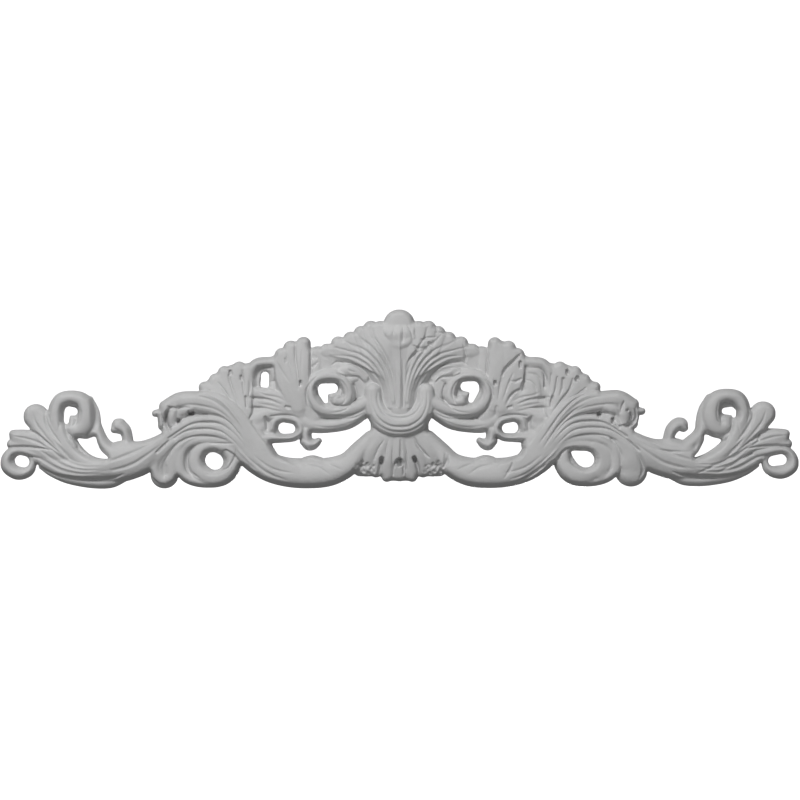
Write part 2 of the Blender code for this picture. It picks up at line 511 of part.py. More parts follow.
def inner_volute(c):
    """The scroll beside the collar, on the body that carries it."""
    c.lay([(100, -20), (110, 0), (112, 20)], [10, 10, 9], [16, 17, 15], 8, top=flat_top)
    c.lay([(68, 38), (86, 42), (94, 48)], [14, 16, 14], 12.5, top=flat_top)
    c.lay([(76, -16), (92, -14)], [8, 8], 15)
    c.lay([(30, 5), (40, 12), (52, 24), (60, 34)], [14, 16, 16, 13], 14.5, top=flat_top)
    c.lay([(84, 8), (70, 8), (60, 8)], [14, 14, 14], 12)
    c.lay([(34, -8), (46, -17), (60, -25.5), (78, -29.3), (98, -29), (118, -20)], [8, 8.5, 8.5, 8.2, 9,
          9], [20, 19.5, 19, 18, 17, 16], 8, blend=1)
    c.lay([(36, -2), (50, -9), (68, -13.2), (85, -11.5), (98, -3), (102, 10), (97, 22), (84, 27.5),
          (70, 26), (60.5, 17), (57.5, 5), (64, -3), (72, -1)], [8, 8, 8.4, 8.4, 7.8, 7.5, 7.5, 8.2, 8,
          7.5, 7, 6.5, 6.5], [23, 22.5, 21.5, 21, 21, 21, 21.5, 21.5, 21.5, 21.5, 21, 21, 22], [14, 13,
          12, 12, 12, 12, 12, 12, 12, 12, 12, 13, 14], blend=0.8)
    c.cut([(62, 27), (54, 20), (50, 8), (52, -2), (60, -6.5), (74, -7)], [0.8, 2.0, 2.4, 2.2, 1.8, 0.8],
          3.2)
    c.cut([(95, 27), (104, 16), (106, 3), (100, -9)], [0.8, 2.0, 2.2, 1.0], 3.4)
    c.cut([(40, -15), (54, -21), (72, -21.5), (90, -20), (102, -12)], [0.6, 1.6, 2.0, 2.0, 0.8], 2.6)
    if c.side < 0:
        c.pierce([(76.5, 13.5), (87.5, 12.2)], [5.5, 6.6])
        c.pierce([(88, 8), (85, -1)], [5.4, 2.8])
    else:
        c.pierce([(75.5, 15.5), (85, 14.8)], [5.4, 6.6])
        c.pierce([(86.5, 12), (82.5, 0)], [5.2, 3.2])


def palmette_half(c):
    """The leaves that rise from the collar and turn outwards, with a thick rolled lower edge."""
    c.lay([(14, 55), (30, 66), (52, 60), (78, 53)], [18, 22, 16, 11], [19, 19, 16, 13], 8, top=flat_top)
    c.lay([(0, -6), (4, 25), (12, 52)], [14, 16, 24], 22, 9, top=flat_top)
    c.lay([(24, 80), (38, 76), (52, 68), (66, 61), (80, 56)], [8, 9, 9, 8, 6.5], [18, 16.5, 15, 13.5, 12],
          drop=3, blend=2)
    c.lay([(10, -8), (12, 14), (21, 29.5), (33, 41), (50, 47.5), (68, 50), (80, 53)], [10, 12, 13.5, 13,
          10, 8, 6], [25.5, 26, 25.5, 23.5, 20, 17, 14.5], [12, 12, 12, 11, 10, 9, 8], top=leaf_edge,
          blend=1)
    for tip, bend, width, crown in (((84, 57.5), (60, 55), 7.5, 14), ((70.5, 65), (50, 56), 8.5, 15.5),
                                    ((56, 70), (40, 53), 9.0, 17), ((44, 76.5), (32, 50), 9.0, 19),
                                    ((33, 82.5), (24, 48), 9.0, 20.5), ((22, 83), (17, 46), 8.5, 22.5)):
        c.lay([(8, 0), (11, 24), bend, tip], [4, 5, width, width], [25.5, 26, crown + 5, crown], drop=2.2,
              blend=2)
    c.lay([(3, -12), (4, 25), (6, 56)], [7, 9, 13], [26, 27, 26.5], drop=3, blend=3)
    c.cut_between([(4.5, -8), (6.5, 16), (12, 40), (23, 62), (34, 78)],
                  [(15, -6), (20, 16), (33, 36), (52, 48), (76, 51.5)], 5, [1.0, 2.3, 2.6, 2.2, 0.7], 2.6)
    c.cut_between([(22, 58), (28, 70), (33, 84)], [(50, 53), (66, 58), (82, 62)], 4, [0.4, 1.5, 0.9], 1.2)
    if c.side > 0:
        c.cut([(72, 38), (56, 36), (42, 29), (32, 18), (27, 8)], [1.0, 3.0, 5.0, 5.5, 2.5], 4.0)
        c.cut([(7, 34), (11, 45), (18, 53), (31, 59)], [0.8, 2.0, 2.4, 1.2], 3.2)
        c.cut([(16, 62), (22, 59), (31, 60)], [1.4, 2.2, 1.0], 3.0)
        c.cut([(24, 68.5), (32, 71), (42, 72)], [1.2, 1.8, 1.0], 2.6)


def pendant(c):
    """The fan of lobes that hangs under the collar."""
    for sign in (-1, 1):
        c.lay([(sign * 27.5, -26), (sign * 27.5, -36)], [6, 6], 14, 8)
        c.lay([(sign * 26, -42), (sign * 38, -56), (sign * 40, -76)], [8, 14, 11], [17, 17, 14], 6,
              top=flat_top)
        c.lay([(sign * 23, -79.5), (sign * 45, -79.5)], [8.8, 8.8], 12, 7)
        c.lay([(sign * 26, -40), (sign * 39, -54), (sign * 44, -66), (sign * 46, -77)], [8, 11, 10, 7],
              [20, 19.5, 18, 13], drop=5, blend=2)
        for start, middle, end, low in ((22, 34, 38, -82), (16, 23, 27, -83), (9, 12, 14.5, -88.0)):
            c.lay([(sign * start, -42), (sign * middle, -61), (sign * end, low)], [6, 7, 6.5], [21, 20.5,
                  15], drop=3.5, blend=1.5)
    c.lay([(0, -42), (0, -64), (0, -87.0)], [7, 8, 7], [22.5, 22, 16], drop=3.5, blend=1.5)
    c.lay([(-13, -84), (13, -84)], [9.5, 9.5], 13, 7)
    c.cut([(1.0, -46), (1.5, -60), (1.5, -70)], [1.0, 1.9, 1.4], 3.0)
    c.cut([(-7, -86), (-6, -76), (-4, -71)], [1.0, 1.8, 1.4], 2.6)
    c.cut([(4, -73), (5, -79), (4.5, -86)], [1.4, 1.8, 1.0], 2.6)
    c.cut([(-21, -70), (-23, -79), (-25, -88)], [2.6, 2.2, 1.6], 6.0)
    c.cut([(17.5, -68), (20.5, -76), (22.5, -86)], [2.6, 2.6, 1.8], 6.5)


def collar(c):
    """The deep stirrup that holds the leaves together, with bands round its bowl."""
    c.lay([(-30.5, 10), (-29.5, -5), (-23, -19), (-12, -26.5), (0, -28.5), (12, -26.5), (23, -19),
          (29.5, -5), (30.5, 10)], [9, 11, 13, 14, 14.3, 14, 13, 11, 9], [24, 26, 28.5, 29.5, 30, 29.5,
          28.5, 26, 24], [16, 16, 17, 18, 18, 18, 17, 16, 16])
    inner = [(-25, 9), (-25, -3), (-19, -14), (-10, -19.5), (0, -21), (10, -19.5), (19, -14), (25, -3),
             (25, 9)]
    middle = [(-31.5, 9), (-31, -6), (-25, -20), (-13, -29), (0, -31), (13, -29), (25, -20), (31, -6),
              (31.5, 9)]
    outer = [(-36, 8), (-35.5, -8), (-29, -24), (-15, -34), (0, -36.5), (15, -34), (29, -24), (35.5, -8),
             (36, 8)]
    c.cut(inner, [1.0, 1.4, 1.9, 2.2, 2.4, 2.2, 1.9, 1.4, 1.0], 2.8)
    c.cut(middle, [0.8, 1.2, 1.7, 2.1, 2.3, 2.1, 1.7, 1.2, 0.8], 2.4)


def top_knob(c):
    """The tip of the middle leaf, turned over at the top, with a pointed lower edge."""
    c.lay([(-24, 70), (-13, 67), (0, 62)], [3.2, 5.5, 5.0], [23, 26, 28], drop=3, blend=2)
    c.lay([(0, 62), (8, 66), (14, 72)], [5.0, 6.5, 6.0], [28.5, 28.5, 27], drop=7, blend=1)
    c.lay([(0, 68), (-0.5, 76), (-0.5, 86.2)], [11, 17, 18.3], [28, 28.5, 23], drop=4, blend=2)
    c.cut([(4, 83), (4.2, 75), (3.4, 66)], [1.0, 2.2, 1.2], 2.6)


def carve():
    """The whole relief, from the back layers to the front ones."""
    c = Carving(0.5 * DRAWN_WIDTH + 3.0 * GRID, DRAWN_HALF_HEIGHT + 2.0 * GRID, GRID)
    for side in (-1, 1):
        c.face(side)
        for carve_piece in (fan_webs, outer_fan, arched_leaf, inner_fan, side_lobes, hook,
                            trunk_and_belly, arch_leaf, wing_stem, arch_grooves, end_leaf, wing_grooves,
                            end_ring, upper_volute, curled_leaf, tongue, small_ring, oval_scroll,
                            inner_volute, palmette_half):
            carve_piece(c)
    for carve_middle in (pendant, collar, top_knob):
        carve_middle(c)
    c.soften_outline(1.2)
    return c


def cut_out_sheet(c):
    """The front surface with its straight sides, open at the back."""
    bm = bmesh.new()
    columns = len(c.x)
    rows = len(c.z)
    bmesh.ops.create_grid(bm, x_segments=columns - 1, y_segments=rows - 1, size=0.5)
    for vert in bm.verts:
        column = round((vert.co.x + 0.5) * (columns - 1))
        row = round((vert.co.y + 0.5) * (rows - 1))
        vert.co = (c.x[column], c.cover[row, column], c.z[row])
    far = [vert for vert in bm.verts if vert.co.y < -2.0 * GRID]
    bmesh.ops.delete(bm, geom=far, context='VERTS')
    whole = bm.verts[:] + bm.edges[:] + bm.faces[:]
    bmesh.ops.bisect_plane(bm, geom=whole, dist=1e-5, plane_co=(0, 0, 0), plane_no=(0, 1, 0),
                           clear_inner=True)
    front = c.surface()
    for vert in bm.verts:
        if vert.is_boundary and abs(vert.co.y) < 1e-4:
            vert.co.y = -STRAIGHT_SIDE
        else:
            column = round((vert.co.x - c.x[0]) / GRID)
            row = round((vert.co.z - c.z[0]) / GRID)
            vert.co.y = -front[row, column]
    rim = [edge for edge in bm.edges if edge.is_boundary]
    side = bmesh.ops.extrude_edge_only(bm, edges=rim)
    for item in side['geom']:
        if isinstance(item, bmesh.types.BMVert):
            item.co.y = 0.0
    return bm


def reduced(bm):
    """The same surface with few enough triangles, made by a Decimate modifier."""
    mesh = bpy.data.meshes.new("sheet")
    bm.to_mesh(mesh)
    bm.free()
    sheet = bpy.data.objects.new("sheet", mesh)
    bpy.context.scene.collection.objects.link(sheet)
    decimate = sheet.modifiers.new("fewer", 'DECIMATE')
    decimate.ratio = TRIANGLES * 0.93 / (2.0 * len(mesh.polygons))
    decimate.use_collapse_triangulate = True
    graph = bpy.context.evaluated_depsgraph_get()
    result = bpy.data.meshes.new_from_object(sheet.evaluated_get(graph))
    bpy.data.objects.remove(sheet)
    return result


def close_back(mesh):
    """Lay the open back flat on the wall plane, fill it, and bring the drawing to its real size."""
    bm = bmesh.new()
    bm.from_mesh(mesh)
    rim = [edge for edge in bm.edges if edge.is_boundary]
    for edge in rim:
        for vert in edge.verts:
            vert.co.y = 0.0
    bmesh.ops.triangle_fill(bm, edges=rim, use_beauty=True, use_dissolve=False)
    bmesh.ops.recalc_face_normals(bm, faces=bm.faces)
    scale = WIDTH / DRAWN_WIDTH
    bmesh.ops.scale(bm, verts=bm.verts, vec=(scale, DEPTH / DRAWN_DEPTH, scale))
    bm.to_mesh(mesh)
    bm.free()


def casting_material():
    material = bpy.data.materials.new("primed_casting")
    material.use_nodes = True
    shader = material.node_tree.nodes["Principled BSDF"]
    shader.inputs["Base Color"].default_value = (0.60, 0.60, 0.60, 1.0)
    shader.inputs["Roughness"].default_value = 0.75
    shader.inputs["Metallic"].default_value = 0.0
    return material


def main():
    for old in list(bpy.data.objects):
        bpy.data.objects.remove(old)
    parts = bpy.data.collections.new("onlay_applique")
    bpy.context.scene.collection.children.link(parts)
    mesh = reduced(cut_out_sheet(carve()))
    close_back(mesh)
    mesh.shade_smooth()
    mesh.set_sharp_from_angle(angle=0.7)
    mesh.materials.append(casting_material())
    parts.objects.link(bpy.data.objects.new("applique", mesh))


main()
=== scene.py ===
"""The looks of a carved onlay applique: its fine relief, its primed finish, and a studio round it.

The relief is carved like clay, as in the part's own source but finer: strokes with a route,
a width and a crown are laid over each other on a grid of heights, grooves and drilled eyes
are cut into them, openings are pierced, and the sheet is cut out along its outline and closed.

Strokes are drawn in millimetres for one half, as (distance out from the middle, height up).
"""
import math

import bmesh
import bpy
import numpy as np
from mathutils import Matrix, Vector


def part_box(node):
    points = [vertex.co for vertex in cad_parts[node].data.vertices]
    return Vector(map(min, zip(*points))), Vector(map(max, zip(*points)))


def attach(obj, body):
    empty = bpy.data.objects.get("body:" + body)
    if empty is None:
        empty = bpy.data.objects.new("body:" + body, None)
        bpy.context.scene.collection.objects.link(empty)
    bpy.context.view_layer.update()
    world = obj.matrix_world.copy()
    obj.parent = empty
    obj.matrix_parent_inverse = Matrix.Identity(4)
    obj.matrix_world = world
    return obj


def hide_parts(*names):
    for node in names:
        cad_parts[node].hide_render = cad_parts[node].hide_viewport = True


# the drawing and its grid, in millimetres
DRAWN_WIDTH = 918.0
DRAWN_HALF_HEIGHT = 104.5
GRID = 0.62
STRAIGHT_SIDE = 3.5
ROLL = 7.5
OUTSIDE = -30.0
LOWEST_EDGE = 3.0
SPINE_STEP = 0.9
EDGE_BAND = 2.5
NOTCH_ROUNDING = 1.2
CREASE_ROUNDING = 0.9

# the sheet is brought a little under the limit, because the back adds triangles of its own
TRIANGLES = 190000
SHEET_SHARE = 0.95

# metres: the gap to the solid's box, the photograph's width (800 pixels of 1.15 mm) and its middle
KEEP_INSIDE = 0.0004
FRAME_WIDTH = 0.920
PHOTO_MIDDLE = (0.0006, 0.0)

# the right half sits a little closer in and higher than the left, below the middle;
# its far end is higher from top to bottom
SLIP_AT = (0, 60, 120, 200, 260, 330, 380, 430, 460)
SLIP_IN = (0, 0, 2.5, 5.0, 4.0, 3.5, 2.5, 1.0, 0)
SLIP_UP = (0, 0, 0.5, 1.5, 2.0, 3.0, 2.0, 1.5, 0)
SLIP_TOP = 10.0
SLIP_FADE = 40.0
FAR_END = 230.0
FAR_FADE = 20.0


def through(values, count):
    """A smooth curve through evenly spaced values, read at count places."""
    values = np.asarray(values, dtype=float)
    if values.ndim == 1:
        values = values[:, None]
    place = np.linspace(0.0, len(values) - 1.0, count)
    index = np.minimum(place.astype(int), len(values) - 2)
    part = (place - index)[:, None]
    first = 2.0 * values[0] - values[1]
    last = 2.0 * values[-1] - values[-2]
    padded = np.vstack([first, values, last])
    before, start, end, after = (padded[index + k] for k in range(4))
    return 0.5 * (2.0 * start + (end - before) * part
                  + (2.0 * before - 5.0 * start + 4.0 * end - after) * part ** 2
                  + (3.0 * start - before - 3.0 * end + after) * part ** 3)


def along(values, place):
    """Values spread evenly along a stroke, read smoothly at places from 0 to 1."""
    values = np.atleast_1d(values)
    if len(values) == 1:
        return np.full(place.shape, float(values[0]))
    fine = through(values, 60)[:, 0]
    return np.interp(place, np.linspace(0.0, 1.0, 60), fine)


def round_top(across):
    """A half-round section, for places from -1 to 1 across a stroke."""
    return np.sqrt(np.clip(1.0 - across ** 2, 0.0, 1.0))


def soft_top(across):
    """A lower section, with no steep edge."""
    return np.clip(1.0 - across ** 2, 0.0, 1.0)


def flat_top(across):
    """A nearly flat section with round shoulders."""
    return np.sqrt(np.clip(1.0 - across ** 4, 0.0, 1.0))


def with_neighbours(grid):
    """Each value of a grid with its four neighbours added to it."""
    total = grid.copy()
    for axis in (0, 1):
        for shift in (-1, 1):
            total += np.roll(grid, shift, axis)
    return total


def leaf_edge(across):
    """A sharp crest with a long, even slope beside it."""
    return 1.0 - np.abs(across) ** 1.35


class Carving:
    """A grid of heights over the back, and of the distance inside the outline."""

    def __init__(self, half_width, half_height, step):
        self.step = step
        columns = int(half_width / step) + 1
        rows = int(half_height / step) + 1
        self.x = np.arange(-columns, columns + 1) * step
        self.z = np.arange(-rows, rows + 1) * step
        self.height = np.zeros((len(self.z), len(self.x)))
        self.cover = np.full(self.height.shape, OUTSIDE)
        self.face(-1)

    def face(self, side):
        """Turn to the left (-1) or right (1) half, where the strokes are laid next."""
        self.side = side
        self.out, self.up = np.meshgrid(side * self.x, self.z)
        if side > 0:
            fade = np.clip((SLIP_TOP - self.up) / SLIP_FADE, 0.0, 1.0)
            lift = np.interp(self.out, SLIP_AT, SLIP_UP)
            far = np.clip((self.out - FAR_END) / FAR_FADE, 0.0, 1.0)
            self.up = self.up - lift * np.maximum(fade, far)
            self.out = self.out + fade * np.interp(self.out, SLIP_AT, SLIP_IN)

    def around(self, points, reach):
        """The grid's places in a box round points, with reach to spare on each side."""
        low = points.min(axis=0) - reach
        high = points.max(axis=0) + reach
        return (self.out >= low[0]) & (self.out <= high[0]) & (self.up >= low[1]) & (self.up <= high[1])

    def near(self, route, widths, margin=0.0):
        """Around a stroke: where it is on the grid, and the place across it, along it and its width."""
        rough = through(route, 40)
        length = np.hypot(*np.diff(rough, axis=0).T).sum()
        count = int(max(12, length / SPINE_STEP))
        spine = through(route, count)
        width = np.maximum(through(widths, count)[:, 0], 0.05)
        run = np.concatenate([[0.0], np.cumsum(np.hypot(*np.diff(spine, axis=0).T))])
        heading = np.gradient(spine, axis=0)
        heading /= np.maximum(np.hypot(*heading.T), 1e-9)[:, None]
        close = self.around(spine, width.max() + margin + self.step)
        rows, columns = np.nonzero(close)
        off_out = self.out[close][:, None] - spine[None, :, 0]
        off_up = self.up[close][:, None] - spine[None, :, 1]
        pick = ((off_out ** 2 + off_up ** 2) / width[None] ** 2).argmin(axis=1)
        off_out = self.out[close] - spine[pick, 0]
        off_up = self.up[close] - spine[pick, 1]
        forward = off_out * heading[pick, 0] + off_up * heading[pick, 1]
        aside = off_up * heading[pick, 0] - off_out * heading[pick, 1]
        place = run[pick] + forward
        past = (place < 0.0) | (place > run[-1])
        place = np.clip(place, 0.0, run[-1])
        local = np.interp(place, run, width)
        away = np.where(past, np.hypot(aside, forward), np.abs(aside))
        return (rows, columns), np.where(aside < 0.0, -away, away) / local, place / run[-1], local

    def lay(self, route, widths, crown, edge=5.0, top=round_top, lean=0.0, blend=0.0, drop=None):
        """Lay a stroke that rises from edge (or drop below its crown) to crown."""
        where, across, place, local = self.near(route, widths)
        crown = along(crown, place)
        edge = along(edge, place) if drop is None else np.maximum(crown - drop, LOWEST_EDGE)
        across = np.clip(across, -2.0, 2.0)
        inside = np.abs(across) < 1.0
        leaned = (across - lean) / np.where(across < lean, 1.0 + lean, 1.0 - lean)
        new = edge + (crown - edge) * top(np.clip(leaned, -1.0, 1.0))
        old = self.height[where]
        mixed = np.maximum(old, new)
        if blend:
            mixed += np.clip(blend - np.abs(old - new), 0.0, None) ** 2 / (4.0 * blend)
        self.height[where] = np.where(inside, mixed, old)
        self.cover[where] = np.maximum(self.cover[where], (1.0 - np.abs(across)) * local)

    def cut(self, route, widths, depth):
        """Cut a groove along a stroke, shallower where it is narrower; a minus depth raises a bead."""
        where, across, _, local = self.near(route, widths)
        self.height[where] -= depth * local / np.max(widths) * soft_top(across) ** 1.5

    def cut_between(self, first, last, count, widths, depth):
        """Cut a family of grooves that spread evenly between two routes."""
        for share in np.linspace(0.0, 1.0, count):
            route = (1.0 - share) * np.array(first, dtype=float) + share * np.array(last, dtype=float)
            self.cut(route, widths, depth)

    def drill(self, out, up, radius, depth, to=None):
        """Press a drilled eye, or a short slot, into the surface."""
        end = to or (out + 0.1, up)
        where, across, _, _ = self.near([(out, up), end], [radius, radius])
        self.height[where] -= depth * np.clip(1.25 - 1.25 * across ** 4, 0.0, 1.0)

    def pierce(self, route, widths):
        """Open a hole the shape of a stroke, right through."""
        where, across, _, local = self.near(route, widths, 3.0 * self.step)
        self.cover[where] = np.minimum(self.cover[where], (np.abs(across) - 1.0) * local)

    def open_hole(self, loop):
        """Open a hole with a smooth closed outline, right through."""
        loop = np.array(loop, dtype=float)
        fine = 12
        wrapped = np.vstack([loop[-1:], loop, loop[:2]])
        edge = through(wrapped, (len(wrapped) - 1) * fine + 1)[fine:(len(loop) + 1) * fine + 1]
        close = self.around(edge, 6.0)
        out = self.out[close][:, None]
        up = self.up[close][:, None]
        distance = np.hypot(out - edge[None, :, 0], up - edge[None, :, 1]).min(axis=1)
        start, end = edge[:-1], edge[1:]
        crossing = (start[:, 1] > up) != (end[:, 1] > up)
        rise = np.where(end[:, 1] == start[:, 1], 1e-9, end[:, 1] - start[:, 1])
        beyond = out < start[:, 0] + (end[:, 0] - start[:, 0]) * (up - start[:, 1]) / rise
        inside = (crossing & beyond).sum(axis=1) % 2 == 1
        self.cover[close] = np.minimum(self.cover[close], np.where(inside, -distance, distance))

    def soften_outline(self, reach):
        """Round the sharp notches between neighbouring lobes."""
        smooth = np.clip(self.cover, -EDGE_BAND, EDGE_BAND)
        for _ in range(round((reach / self.step) ** 2)):
            smooth = with_neighbours(smooth) / 5.0
        near_edge = np.abs(smooth) < 0.8 * EDGE_BAND
        self.cover = np.where(near_edge, smooth, self.cover)

    def soften(self, reach):
        """Round the creases, as paint and a worn mould do."""
        inside = (self.cover > 0.0).astype(float)
        weight = np.maximum(with_neighbours(inside), 1.0)
        for _ in range(round((reach / self.step) ** 2)):
            total = with_neighbours(self.height * inside)
            self.height = np.where(inside > 0.0, total / weight, self.height)

    def rim_distance(self, reach):
        """Distance in from the outline, walked out over the grid."""
        inside = self.cover > 0.0
        distance = np.where(inside, reach, 0.0)
        for axis in (0, 1):
            for shift in (-1, 1):
                beside = inside & ~np.roll(inside, shift, axis)
                distance = np.where(beside, np.clip(self.cover, 0.05, self.step), distance)
        for _ in range(int(reach / self.step) + 1):
            for row, column in ((0, 1), (1, 0), (1, 1), (1, -1)):
                pace = self.step * np.hypot(row, column)
                for sign in (-1, 1):
                    stepped = np.roll(distance, (sign * row, sign * column), (0, 1))
                    stepped = np.where(stepped > 0.0, stepped + pace, reach)
                    distance = np.where(inside, np.minimum(distance, stepped), distance)
        return distance

    def surface(self):
        """The carved heights, rolled down to a straight side all round the outline."""
        share = np.clip(self.rim_distance(ROLL) / ROLL, 0.0, 1.0)
        rolled = np.sqrt(1.0 - (1.0 - share) ** 2)
        height = np.maximum(self.height, STRAIGHT_SIDE)
        return STRAIGHT_SIDE + (height - STRAIGHT_SIDE) * rolled


def fan_webs(c):
    """The ground behind the two fans of leaves."""
    c.lay([(222, 4), (205, 12), (190, 22), (176, 26), (150, 34), (125, 44), (104, 48)],
          [9, 14, 14, 16, 14, 15, 12], 11, top=flat_top)
    c.lay([(205, -10), (180, -8), (150, -4), (120, 0), (100, 5)], [14, 20, 24, 26, 16], 12, top=flat_top)


def outer_fan(c):
    """The leaf that fans out above the arch, with eyes drilled between its lobes."""
    c.lay([(180, -40), (190, -8), (200, 12)], [10, 15, 16], [24, 18, 14], drop=5, blend=3)
    c.lay([(223.5, 12), (210.5, 22), (198.5, 30), (184, 35), (174, 34)], [6.5, 7.6, 8, 7.8, 6.5], 12, drop=3,
          blend=2)
    root = (177, -46)
    for tip, bend, width in (((224.5, 14.5), (206, -1), 6.8), ((212, 23), (201, 5), 7.5),
                             ((201.5, 31.5), (195, 11), 7.8), ((184.5, 36.5), (186, 11), 8),
                             ((173, 36), (176.5, 12), 6)):
        c.lay([root, bend, tip], [8, width + 2, width], [24, 19.5, 14], drop=2.6, blend=2.5)
    if c.side < 0:
        c.drill(194.5, 33, 1.7, 4.5, (193.5, 30))
        c.drill(181.8, 27, 1.4, 3.5, (181.5, 23))
        c.cut([(173, 33), (171.5, 24), (171.5, 14), (173, 4)], [1.5, 2.2, 1.8, 0.8], 4)
        c.cut([(180, 34), (179.5, 20), (178, 6)], [1, 1.9, 0.8], 3)
        c.cut([(196, 28), (192, 14), (185, -6)], [1.6, 1.6, 0.6], 2.6)
        c.cut([(208, 20), (199, 8), (188, -10)], [1.2, 1.6, 0.6], 2.2)
        c.cut([(219, 11), (208, 3), (198, -8)], [1.4, 1.8, 0.8], 2)
    else:
        c.drill(192.5, 33, 2.1, 5, (192.5, 30))
        c.drill(204, 25.5, 2.2, 5, (203, 23))
        c.cut([(188, 24), (187, 14), (184, 6)], [2.6, 2.4, 1], 3.2)
        c.cut([(199, 24), (195, 12), (187, 0), (178, -14)], [1.4, 2, 2.2, 0.8], 3.6)
        c.cut([(214, 14), (203, 5), (190, -8), (178, -24)], [1.2, 2, 2.2, 0.8], 3.4)
        c.cut([(222, 8), (209, 0), (196, -12), (182, -30)], [1, 1.8, 2, 0.6], 2.8)
        c.cut([(181, 26), (179, 12), (174, -4)], [1.4, 2.2, 1], 3.2)


def arched_leaf(c):
    """The hood between the two fans: open in the left half, a folded leaf in the right."""
    c.lay([(172, 8), (172, 28), (166, 41), (152, 44), (140, 42)], [5, 5.5, 6, 6, 6], [14, 15, 16, 16, 15], 8,
          blend=1.5)
    if c.side < 0:
        c.cut([(164, 14), (163.5, 28), (158, 36), (148, 38)], [2.6, 3.6, 3.6, 2.6], 4)
        c.pierce([(155.3, 17.5), (154.8, 28)], [4.9, 4.6])
    else:
        c.lay([(152, -2), (154, 16), (156, 35)], [8, 11, 10], [17, 17, 15], drop=3, blend=3)
        c.cut([(171, 8), (168.5, 24), (161, 35.5), (147, 37)], [1, 2.2, 2.2, 1], 2.4)
        c.cut([(163, 4), (162.5, 18), (157, 28.5), (145, 31)], [0.8, 1.8, 1.8, 0.8], 1.8)
        c.cut([(156, 2), (156, 13), (151, 21), (142, 23)], [0.8, 1.6, 1.6, 0.8], 1.5)
        c.cut([(174, 30), (173, 18), (172, 6)], [1.2, 1.6, 1], 2)


def inner_fan(c):
    """The tall leaf next to the volute, with a darker leaf tip behind it."""
    c.lay([(98, 24), (97.5, 40), (97, 54.5)], [7, 7.5, 6.5], [15, 15, 13], drop=3, blend=2)
    c.lay([(118, -12), (124, 14), (128, 38), (128, 50)], [12, 17, 15, 12], [18, 18.5, 17.5, 16], drop=5,
          blend=3)
    c.lay([(137, 50), (127, 57), (115, 62)], [6, 7, 7], 14, drop=3, blend=2)
    root = (117, -8)
    for tip, bend, width in (((135.5, 51.5), (131, 24), 8.5), ((125, 59.5), (122, 30), 9)):
        c.lay([root, bend, tip], [7, width + 2, width], [18, 19, 15.5], drop=2, blend=3)
    if c.side < 0:
        c.lay([(112, -8), (111, 22), (111.2, 45), (110.5, 64.5)], [7, 8, 8.5, 8.5], [18, 20, 20, 16.5],
              drop=3.5, blend=2)
        c.cut([(119.5, 66), (119.4, 50), (117.2, 32), (116, 12)], [1, 1.9, 1.6, 0.8], 2.4)
        c.cut([(102, 68), (102, 48), (102, 26), (105, 5), (106, -8)], [1.4, 2.4, 2.6, 1.8, 1], 2.4)
        c.drill(113.6, 21, 1.6, 5, (113.6, 17))
        c.drill(99, 50, 2.4, 3.5, (97, 49))
        c.cut([(141, 44), (135, 33), (126, 20)], [1, 1.8, 0.7], 1.4)
        c.cut([(131, 60), (127, 44), (121, 26)], [1, 1.8, 0.7], 1.4)
        c.cut([(112, 58), (112.5, 40), (113, 24)], [0.8, 1.4, 0.6], 1)
        c.drill(131, 47, 1.3, 1.6, (130, 44))
        c.cut([(100, 38), (94, 43)], [2, 1.6], 2)
    else:
        c.lay([(108, -8), (107.5, 20), (110, 42), (109.5, 64.5)], [6, 7.5, 9, 8], [18, 19.5, 19.5, 16.5],
              drop=2.5, blend=3)
        c.lay([(110, 20), (116, 40), (121, 58)], [6, 9, 8], [19, 19.5, 16], drop=2.5, blend=3)
        c.cut([(101.5, 62), (101, 44), (100, 26), (103, 8)], [1.2, 1.6, 1.4, 0.6], 2.4)
        c.drill(109.5, 20.5, 2, 5, (109.5, 18))
        c.cut([(138, 52), (130, 44), (121, 35), (118.5, 29)], [1.6, 2.6, 2.4, 1.8], 5)
        c.drill(138.5, 43, 1.8, 4, (138.5, 38))
        c.cut([(139, 24), (133, 21), (126, 22)], [1.8, 2.2, 1], 2.4)
        c.cut([(137, 12), (129, 6), (123, -6)], [1.8, 2.4, 1.6], 3.4)
        c.cut([(130, 30), (124, 16), (119, 0)], [1, 1.8, 0.8], 1.8)
        c.cut([(118, 32), (115, 16), (113, 0)], [0.8, 1.6, 0.8], 1.8)
        c.cut([(112, -8), (111, -20)], [2, 2.2], 3)


def side_lobes(c):
    """The soft lobes that point outwards under the arched leaf, one below the other."""
    root = (118, -8)
    for tip, bend in (((168, 9), (150, 5)), ((168, -4), (150, -5)), ((165, -16), (148, -14))):
        c.lay([root, bend, tip], [7, 8, 6], [17, 17.5, 14.5], drop=3, blend=2.5)
    c.cut([(172, 3), (163, 1.5), (150, 0), (136, -5)], [1.6, 2.4, 2.2, 0.8], 3)
    c.cut([(172, -9), (163, -9), (150, -11), (137, -13)], [1.2, 2.2, 2.2, 0.8], 2.6)
    c.cut([(162, 9), (152, 5), (140, 3), (130, -2)], [0.8, 1.8, 1.8, 0.6], 1.3)
    c.cut([(162, -4), (150, -6), (138, -9)], [0.8, 1.8, 0.8], 1.3)
    c.cut([(171, -21), (167, -16), (158, -15), (146, -17)], [2.4, 2.4, 2, 0.8], 3.6)
    c.cut([(176, 3), (175, -8)], [2.4, 1.6], 3.6)
    c.drill(130, -8, 1.8, 2.2, (126, -9))
    if c.side < 0:
        c.drill(148, -25, 2.6, 4, (149, -21))


